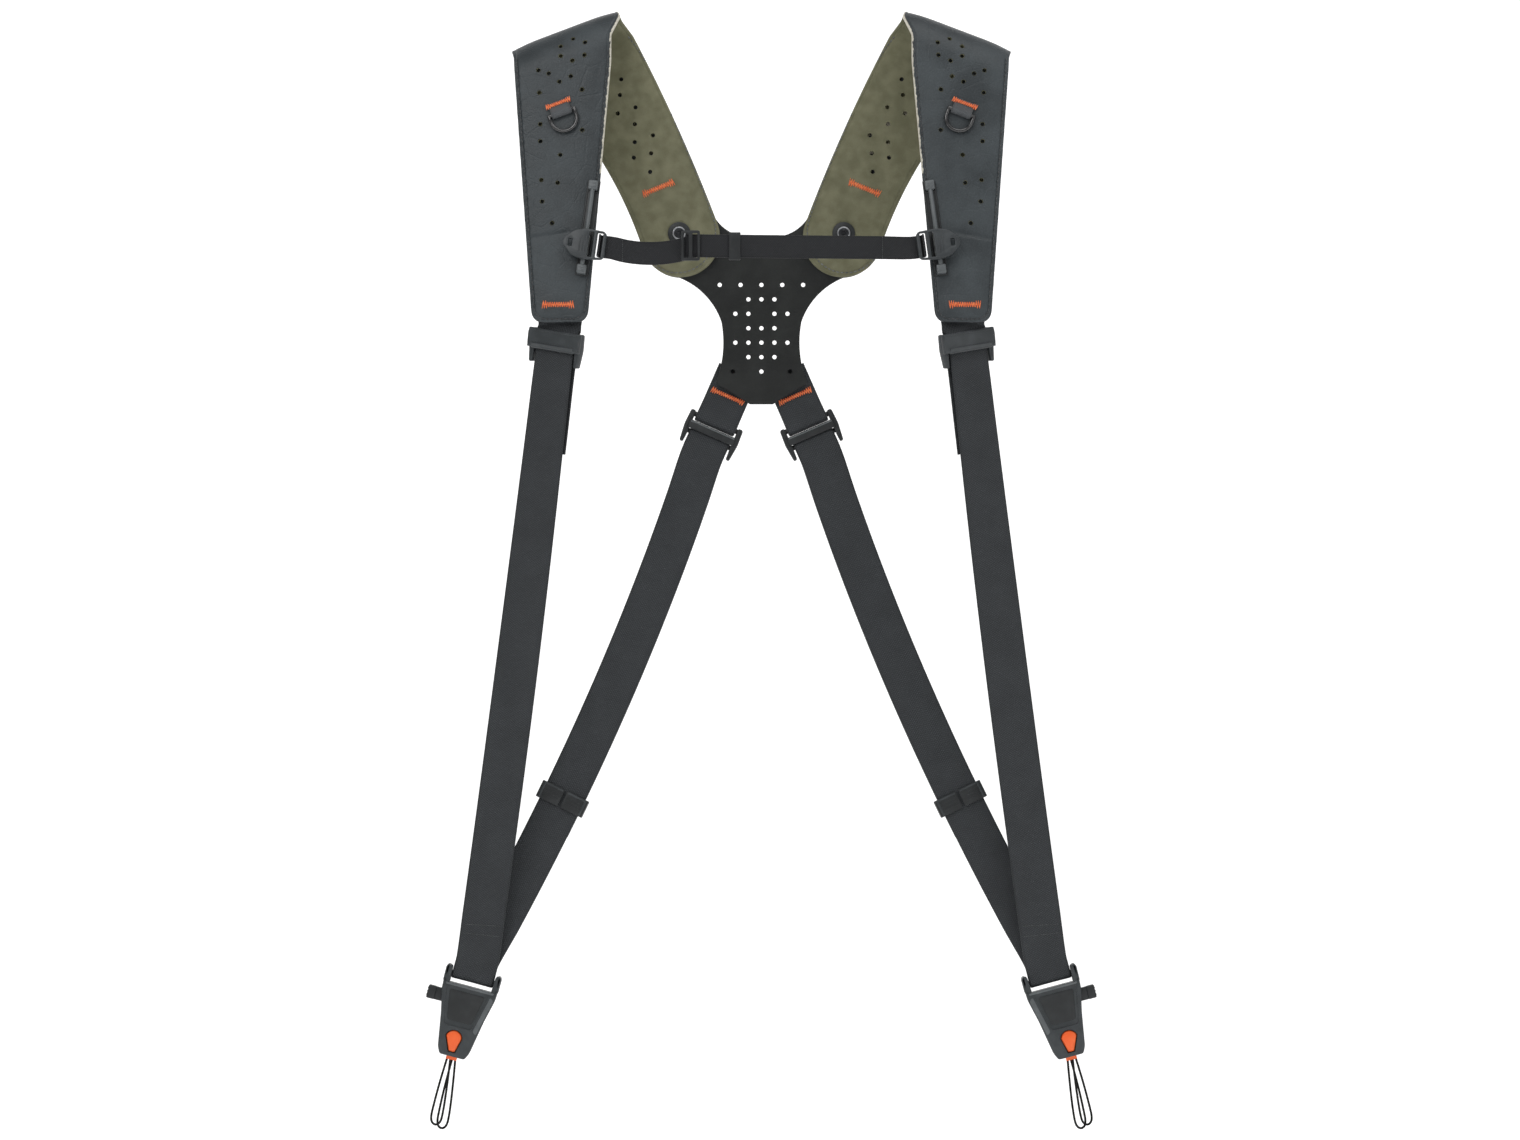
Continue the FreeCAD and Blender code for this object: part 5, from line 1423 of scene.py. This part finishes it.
@dataclass
class Connector:
    """The quick-release body at a strap's foot, its button and its orange tongue."""

    side: Side
    maker: Maker

    @property
    def place(self) -> Matrix:
        """The connector's frame, at its strap bar."""
        return PLAN.connector_frame(self.side.sign)

    def window(self) -> Pair:
        """The middle of the window in the front shell, where the tongue shows."""
        return self.side.sign * 2.0, -44.6

    def outline(self) -> list[Pair]:
        """The tapering body with a notch for the strap."""
        half = [(20.0, 3.5), (18.9, 5.5), (17.0, 5.5), (17.0, -6.6)]
        low = [(9.0, -57.0), (11.4, -52.0), (15.4, -28.5), (19.2, -12.0)]
        corners = [(-x, z) for x, z in half] + half[::-1] + low[::-1] + [(-x, z) for x, z in low]
        return rounded(corners, 1.5, 4)

    def cutters(self, front: bool) -> Shell:
        """The ways inside for the tongue and the button, the window and the sunk middle."""
        sign = self.side.sign
        tool = Shell().block((13.8, 5.3, 40.0), (0, 0, -55.5), 0.05)
        tool.block((26.0, 5.3, 10.4), (sign * 16.0, 0, -17.0), 0.05)
        if front:
            drop = bulb(self.window(), 6.35, [(sign - 2.6, -54.2), (sign + 2.6, -54.2)], 12.0)
            tool.slab([drop], -7.0, -2.0, 0.1)
            sunk = [(sign * 16.4, -8.5), (-sign * 14.8, -8.5), (-sign * 8.4, -36.0), (sign * 11.6, -36.0)]
            tool.slab([rounded(sunk, 2.2)], -7.0, -4.5, 0.2)
        return tool

    def build(self) -> None:
        """Builds the two shells, their trim, the button and the tongue."""
        sign, word, place = self.side.sign, self.side.word, self.place
        body = f"{word}_front"
        for front, name in ((True, "connector_front"), (False, "connector_back")):
            span = (-5.6, -0.05) if front else (0.05, 5.6)
            shell = Shell().slab([self.outline()], *span, 0.85).carve(self.cutters(front))
            for end in (-1, 1):
                arm = [(end * x, z) for x, z in ((14.9, -6.8), (19.8, -6.8), (19.9, 3.2), (18.6, 5.4), (15.6, 4.6))]
                shell.slab([rounded(arm, 1.2)], *((-5.6, -4.15) if front else (4.2, 5.6)), 0.4)
            self.maker.finish(f"{word}_{name}_shell", shell.bm, place, "mid", body, "hardware_dark",
                              [f"{word}_{name}"], 28)
        rim = [(-sign * 15.6, -10.0), (-sign * 18.2, -12.0), (-sign * 14.4, -29.0), (-sign * 12.4, -38.5),
               (-sign * 9.6, -36.6)]
        trim = Shell().slab([rounded(rim, 1.6)], -5.95, -5.4, 0.22)
        for i in range(4):
            trim.block((3.2, 0.5, 0.8), (-sign * 16.4 + sign * i * 0.75, -5.98, -14.5 - i * 3.4), 0.18)
        lip = rounded([(-17.4, -6.9), (17.4, -6.9), (17.0, -8.3), (-17.0, -8.3)], 0.5)
        trim.slab([lip], -5.85, -5.35, 0.2)
        self.maker.finish(f"{word}_connector_trim", trim.bm, place, "light", body, "hardware_dark")
        middle = Shell().slab([rounded([(sign * 13.6, -11.0), (-sign * 12.0, -11.0), (-sign * 7.4, -32.5),
                                        (sign * 10.0, -32.5)], 2.0)], -4.9, -4.3, 0.2)
        self.maker.finish(f"{word}_connector_panel", middle.bm, place, "dark", body, "hardware_dark")
        self.maker.dress(f"{word}_connector_bar", "blackened")
        self.maker.dress(f"{word}_button_spring", "steel")
        self.button(place)
        drop = bulb((0, -42.74), 6.64, [(-3.8, -54.0), (-3.8, -59.5), (3.8, -59.5), (3.8, -54.0)], -11.8)
        tongue = Shell().slab([drop], -2.5, 2.5, 0.5)
        pearl = bulb(self.window(), 5.9, [(sign - 2.2, -53.8), (sign + 2.2, -53.8)], 12.0)
        tongue.slab([pearl], -5.0, -2.0, 1.3)
        for depth in (-1, 1):
            tongue.rod(0.55, 6.0, (0, depth * 2.35, -57.2), Way.ACROSS, 0.1, segments=16)
        self.maker.finish(f"{word}_tongue", tongue.bm, place, "orange", f"{word}_tongue", "anchor_plastic",
                          [f"{word}_anchor"], 30)

    def button(self, place: Matrix) -> None:
        """Builds the ribbed side button and its stem."""
        sign, word = self.side.sign, self.side.word
        shell = Shell().block((6.0, 6.2, 9.4), (sign * 25.4, 0, -17.0), 1.0)
        shell.block((13.6, 4.6, 9.0), (sign * 16.9, 0, -17.0), 0.2)
        for i in range(3):
            shell.block((0.6, 4.6, 0.9), (sign * 28.35, 0, -14.6 - i * 2.4), 0.2)
        self.maker.finish(f"{word}_side_button", shell.bm, place, "dark", f"{word}_button", "button_plastic",
                          [f"{word}_release_button"])


# Each loop's route below the tongue, as (out, height) from the middle of its foot.
CORD_LOOPS = {
    "a": (-1.35, 0.0976, ((2.9, 0.4), (3.3, -8.0), (3.6, -22.0), (3.5, -35.0), (3.3, -41.5), (1.8, -45.6),
                          (-1.6, -46.8), (-4.2, -44.0), (-4.3, -38.6), (-3.2, -27.0), (-0.9, -9.0), (0.6, 0.4))),
    "b": (1.35, 0.1010, ((-0.6, 0.4), (-0.5, -9.0), (-0.6, -24.0), (-1.2, -37.0), (-1.6, -43.4), (-3.2, -47.4),
                         (-6.6, -48.4), (-9.0, -45.4), (-9.0, -39.8), (-7.6, -28.0), (-4.6, -9.0), (-2.9, 0.4))),
}
LOOP_FOOT = -59.9


@dataclass
class CordLoops:
    """The two thin loops that hang from one tongue."""

    side: Side
    maker: Maker

    def build(self) -> None:
        word, place = self.side.word, PLAN.connector_frame(self.side.sign)
        for letter, (depth, length, route) in CORD_LOOPS.items():
            curve = bpy.data.curves.new(f"{word}_loop_{letter}", "CURVE")
            curve.dimensions, curve.bevel_depth = "3D", 0.0008
            curve.bevel_resolution, curve.resolution_u = 5, 16
            spline = curve.splines.new("NURBS")
            spline.points.add(len(route) - 1)
            points = [place @ Vector((self.side.sign * out, depth, LOOP_FOOT + height)) * MM
                      for out, height in route]
            for knot, point in zip(spline.points, points):
                knot.co = (*point, 1.0)
            spline.order_u, spline.use_endpoint_u = 3, True
            loop = self.maker.adopt(linked(f"{word}_loop_{letter}", curve), "cord", f"{word}_tongue", "cord",
                                    [f"{word}_cord_loop_{letter}"])


# ---- chest strap, its rails and the D-rings ----

# The slider's place across, and how far apart the two halves of the strap lie in depth there.
SLIDER_X = -49.0
SLIDER_STEP = 2.1

@dataclass
class ChestSide:
    """One side's rail and clip with its half of the chest strap."""

    side: Side
    maker: Maker

    @staticmethod
    def glide_point(side: int) -> Vector:
        """Where a half of the strap ends, at the slider."""
        level = (PLAN.clip_frame(-1).translation + PLAN.clip_frame(1).translation) / 2
        return Vector((SLIDER_X - side * 3, level.y - 10.6 + (SLIDER_STEP if side < 0 else 0.0), level.z))

    def run(self) -> list[Vector]:
        """Middles of the strap from its turn to the slider."""
        sign = self.side.sign
        start, end = PLAN.clip_frame(sign) @ Vector((-sign * 19.45, -5.8, 0)), self.glide_point(sign)
        sag = 4.5 if sign < 0 else 0.0
        shares = (i / 8 for i in range(9))
        return [start.lerp(end, t) - Vector((0, 0, sag * 4 * t * (1 - t))) for t in shares]

    def rail(self, sewing: Sewing) -> None:
        """Builds the sewn base, the lugs and the bar."""
        word, sign = self.side.word, self.side.sign
        place = PLAN.rail_frame(sign)
        base = Shell().block((9.0, 1.3, 68.0), (0, -0.65, 0), 0.5)
        base.block((1.1, 0.6, 66.0), (-3.7, -1.4, 0), 0.25).block((1.1, 0.6, 66.0), (3.7, -1.4, 0), 0.25)
        self.maker.finish(f"{word}_rail_base", base.bm, place, "dark", f"{word}_pad", "hardware_dark",
                          [f"{word}_sternum_rail"])
        bar = Shell().rod(1.5, 61.0, (0, -4.6, 0), Way.UP, 0.2)
        for end in (-1, 1):
            bar.block((6.4, 6.4, 6.5), (0, -3.3, end * 30), 0.9)
            bar.block((4.0, 0.5, 0.7), (0, -6.55, end * 30 - 1.2), 0.15)
            bar.block((4.0, 0.5, 0.7), (0, -6.55, end * 30 + 1.2), 0.15)
        self.maker.finish(f"{word}_rail_bar", bar.bm, place, "light", f"{word}_pad", "hardware_light")
        out = place.to_3x3() @ Vector((0, -1, 0))
        for end in (-1, 1):
            points = [(place @ Vector((x * 0.8, -1.3, end * 25.6)), out) for x in range(-4, 5)]
            sewing.stitches(f"{word}_rail_seam_{'low' if end < 0 else 'high'}", points, f"{word}_pad",
                            "hardware_dark", "dark_thread", 1.1, 0.3)

    def clip(self) -> None:
        """Builds the slotted plate on its sleeve."""
        word, sign = self.side.word, self.side.sign
        half = [(15.0, 2.0), (8.0, 9.0), (0.0, 11.0), (-13.0, 10.0), (-15.0, 8.0)]
        corners = [(sign * x, z) for x, z in half] + [(sign * x, -z) for x, z in half[::-1]]

        def window(start: float, end: float, tall: float) -> list[Pair]:
            """A rounded slot through the plate."""
            return oblong((sign * (start + end) / 2, 0), (end - start, 2 * tall), 0.6)
        holes = [window(-12.4, -8.5, 8.8), window(-6.0, -3.0, 8.8), window(8.5, 11.0, 2.6)]
        shell = Shell().slab([rounded(corners, 3.0), *holes], -10.2, -7.0, 0.6)
        sleeve = Shell().rod(3.0, 13.2, (0, -4.6, 0), Way.UP, 0.3)
        sleeve.block((4.6, 3.4, 12.6), (0, -6.3, 0), 0.4)
        sleeve.carve(Shell().rod(1.85, 40.0, (0, -4.6, 0), Way.UP, 0.01))
        shell.take(sleeve.bm)
        for x in (-1.2, 0.9, 3.0):
            shell.block((0.7, 0.5, 11.0), (sign * x, -10.25, 0), 0.18)
        self.maker.finish(f"{word}_clip_plate", shell.bm, PLAN.clip_frame(sign), "mid", f"{word}_clip",
                          "hardware_light", [f"{word}_sternum_clip"])

    def strap(self, sewing: Sewing) -> None:
        """Builds this half of the chest strap, with a hem near the slider."""
        word, sign = self.side.word, self.side.sign
        clip = PLAN.clip_frame(sign)
        turn = ((10.25, -10.2), (10.25, -7.2), (11.3, -5.95), (13.05, -5.8), (19.45, -5.8))
        stations = [(clip @ Vector((-sign * out, y, 0)), clip.col[2].xyz) for out, y in turn]
        run = self.run()
        stations += [(p, Vector((0, 0, 1))) for p in run[1:]]
        band = ribbon(stations, 16.0, 1.4, 1.8, 0.12)
        self.maker.finish(f"{word}_chest_webbing", band, AS_BUILT, "chest", f"{word}_chest",
                          "chest_webbing", [f"{word}_chest_strap"], 80)
        at = run[1]
        points = [(at + Vector((0, -0.8, z * 1.4)), Vector((0, -1, 0))) for z in range(-5, 6)]
        sewing.stitches(f"{word}_chest_hem", points, f"{word}_chest", "chest_webbing", "dark_thread",
                        1.2, 0.28)

    def trim(self) -> None:
        """Builds the slider on the left half or the keeper on the right half."""
        if self.side is Side.LEFT:
            end = self.glide_point(1)
            place = Matrix.Translation((SLIDER_X, end.y - SLIDER_STEP, end.z))
            holes = [oblong((x, 0), (3.4, 17.0), 0.5) for x in (-3.05, 3.05)]
            shell = Shell().slab([oblong((0, 0), (13.0, 21.0), 1.8), *holes], -1.0, 1.0, 0.45)
            self.maker.finish("chest_slider_frame", shell.bm, place, "dark", "left_chest", "hardware_dark",
                              ["chest_slider"])
            return
        run = self.run()
        share = (run[0].x + 18.5) / (run[0].x - run[-1].x)
        place = frame_at(run[0].lerp(run[-1], share), Vector((0, 0, 1)), run[0] - run[-1])
        band = [oblong((0, 0), (3.9, 19.2), 0.9), oblong((0, 0), (1.95, 16.8), 0.3)]
        shell = Shell().slab(band, -4.0, 4.0, 0.4)
        shell.bm.transform(Matrix.Rotation(math.pi / 2, 4, "Z"))
        self.maker.finish("chest_keeper_band", shell.bm, place, "dark", "right_chest", "hardware_dark",
                          ["chest_keeper"])


@dataclass
class DRing:
    """The glossy wire ring and its folded tape."""

    side: Side
    maker: Maker

    def build(self, sewing: Sewing) -> None:
        """Builds the ring and the tape that holds it."""
        word = self.side.word
        place = PLAN.panel_frame(self.side.sign, *PLAN.ring_at, lift=PLAN.ring_lift)
        wire, radius, straight = 1.35, 9.2, 4.5
        shell = Shell().loop(radius, wire, 180, (0, 0, -straight))
        shell.rod(wire, 2 * radius, (0, 0, 0), rounding=0.02)
        for x in (-radius, radius):
            shell.rod(wire, straight, (x, 0, -straight / 2), Way.UP, 0.02, segments=20).ball(wire, (x, 0, 0))
        self.maker.finish(f"{word}_wire_ring", shell.bm, place, "wire", f"{word}_ring", "black_wire",
                          [f"{word}_dring"], 60)
        across = place.col[0].xyz
        arc = around(Vector(), Vector((0, 2.35, 0)), Vector((0, 0, -1)), 180)
        points = [Vector((0, 2.7, 9)), Vector((0, 2.7, 3)), *arc, Vector((0, 1.35, 6)), Vector((0, 1.35, 9))]
        tape = ribbon([(place @ p, across) for p in points], 14.5, 1.2, 1.0, 0.1)
        self.maker.finish(f"{word}_ring_tape", tape, AS_BUILT, "keeper_tape", f"{word}_pad",
                          "ring_webbing", [f"{word}_dring_tab"], 80)
        out = place.to_3x3() @ Vector((0, -1, 0))
        line = [(place @ Vector((x * 0.72, 0.55, 7.0)), out) for x in range(-12, 13)]
        sewing.tack(f"{word}_tack_ring", line, f"{word}_pad", "ring_webbing", 2.6, 3.9)


# ---- the studio ----

@dataclass
class Studio:
    """A white sweep, soft lights and the camera, in metres."""

    finishes: Finishes
    flat: float = 3.0
    arc: float = 1.2
    half_wide: float = 4.0
    floor: float = -0.86

    def camera(self) -> None:
        """Sets the camera straight in front."""
        data = bpy.data.cameras.new("front_camera")
        data.lens, data.sensor_width = 135.0, 36.0
        eye = linked("front_camera", data)
        eye.location = (-0.001, -4.0, -0.364)
        eye.rotation_euler = (math.pi / 2, 0, 0)
        bpy.context.scene.camera = eye

    def light(self, name: str, place: Sequence[float], power: float, size: float) -> None:
        """Adds a soft square light that looks at the harness."""
        data = bpy.data.lights.new(name, "AREA")
        data.energy, data.size = power, size
        lamp = linked(name, data)
        lamp.location = place
        towards = Vector((0, 0, -0.38)) - Vector(place)
        lamp.rotation_euler = towards.to_track_quat("-Z", "Y").to_euler()

    def build(self) -> None:
        """Builds the backdrop, the lights and the world."""
        bm = bmesh.new()
        bmesh.ops.create_grid(bm, x_segments=1, y_segments=40, size=1.0)
        flat, arc = self.flat, self.arc
        radius = arc / (math.pi / 2)
        for v in bm.verts:
            along = (v.co.y + 1) * 3.0
            bend = min(max(along - flat, 0.0), arc) / arc * math.pi / 2
            depth = min(along, flat) - flat + math.sin(bend) * radius
            height = (1 - math.cos(bend)) * radius + max(along - flat - arc, 0.0)
            v.co = Vector((v.co.x * self.half_wide, depth + arc, height + self.floor))
        bmesh.ops.recalc_face_normals(bm, faces=bm.faces[:])
        mesh = bpy.data.meshes.new("backdrop")
        bm.to_mesh(mesh)
        bm.free()
        mesh.shade_smooth()
        floor = linked("backdrop", mesh)
        mesh.materials.append(self.finishes["floor"])
        self.light("key_light", (-0.8, -1.5, 0.9), 11.0, 0.9)
        self.light("fill_light", (2.2, -2.2, 0.2), 9.0, 2.0)
        self.light("top_light", (0.4, -0.6, 1.3), 9.0, 1.2)
        world = bpy.data.worlds.new("studio")
        world.use_nodes = True
        background = next(n for n in world.node_tree.nodes if n.type == "BACKGROUND")
        background.inputs["Color"].default_value = (1.0, 1.0, 1.0, 1.0)
        background.inputs["Strength"].default_value = 0.42
        bpy.context.scene.world = world
        bpy.context.scene.view_settings.view_transform = "Standard"


def main() -> None:
    """Builds the harness on its model."""
    logging.basicConfig(level=logging.INFO, format="%(name)s: %(message)s")
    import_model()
    finishes = Finishes()
    maker = Maker(finishes)
    sewing = Sewing(maker)
    studio = Studio(finishes)
    studio.camera()
    for side in Side:
        CordLoops(side, maker).build()
    yoke = Yoke(maker)
    yoke.build()
    yoke.dress()
    for side in Side:
        pad = ShoulderPad(side, maker)
        pad.build()
        pad.sew(sewing)
        Strap(side, maker, True).build(sewing)
        Strap(side, maker, False).build(sewing)
        StrapKeeper(side, maker).build()
        Connector(side, maker).build()
        chest = ChestSide(side, maker)
        chest.rail(sewing)
        chest.clip()
        chest.strap(sewing)
        chest.trim()
        DRing(side, maker).build(sewing)
    studio.build()


if __name__ == "__main__":
    main()
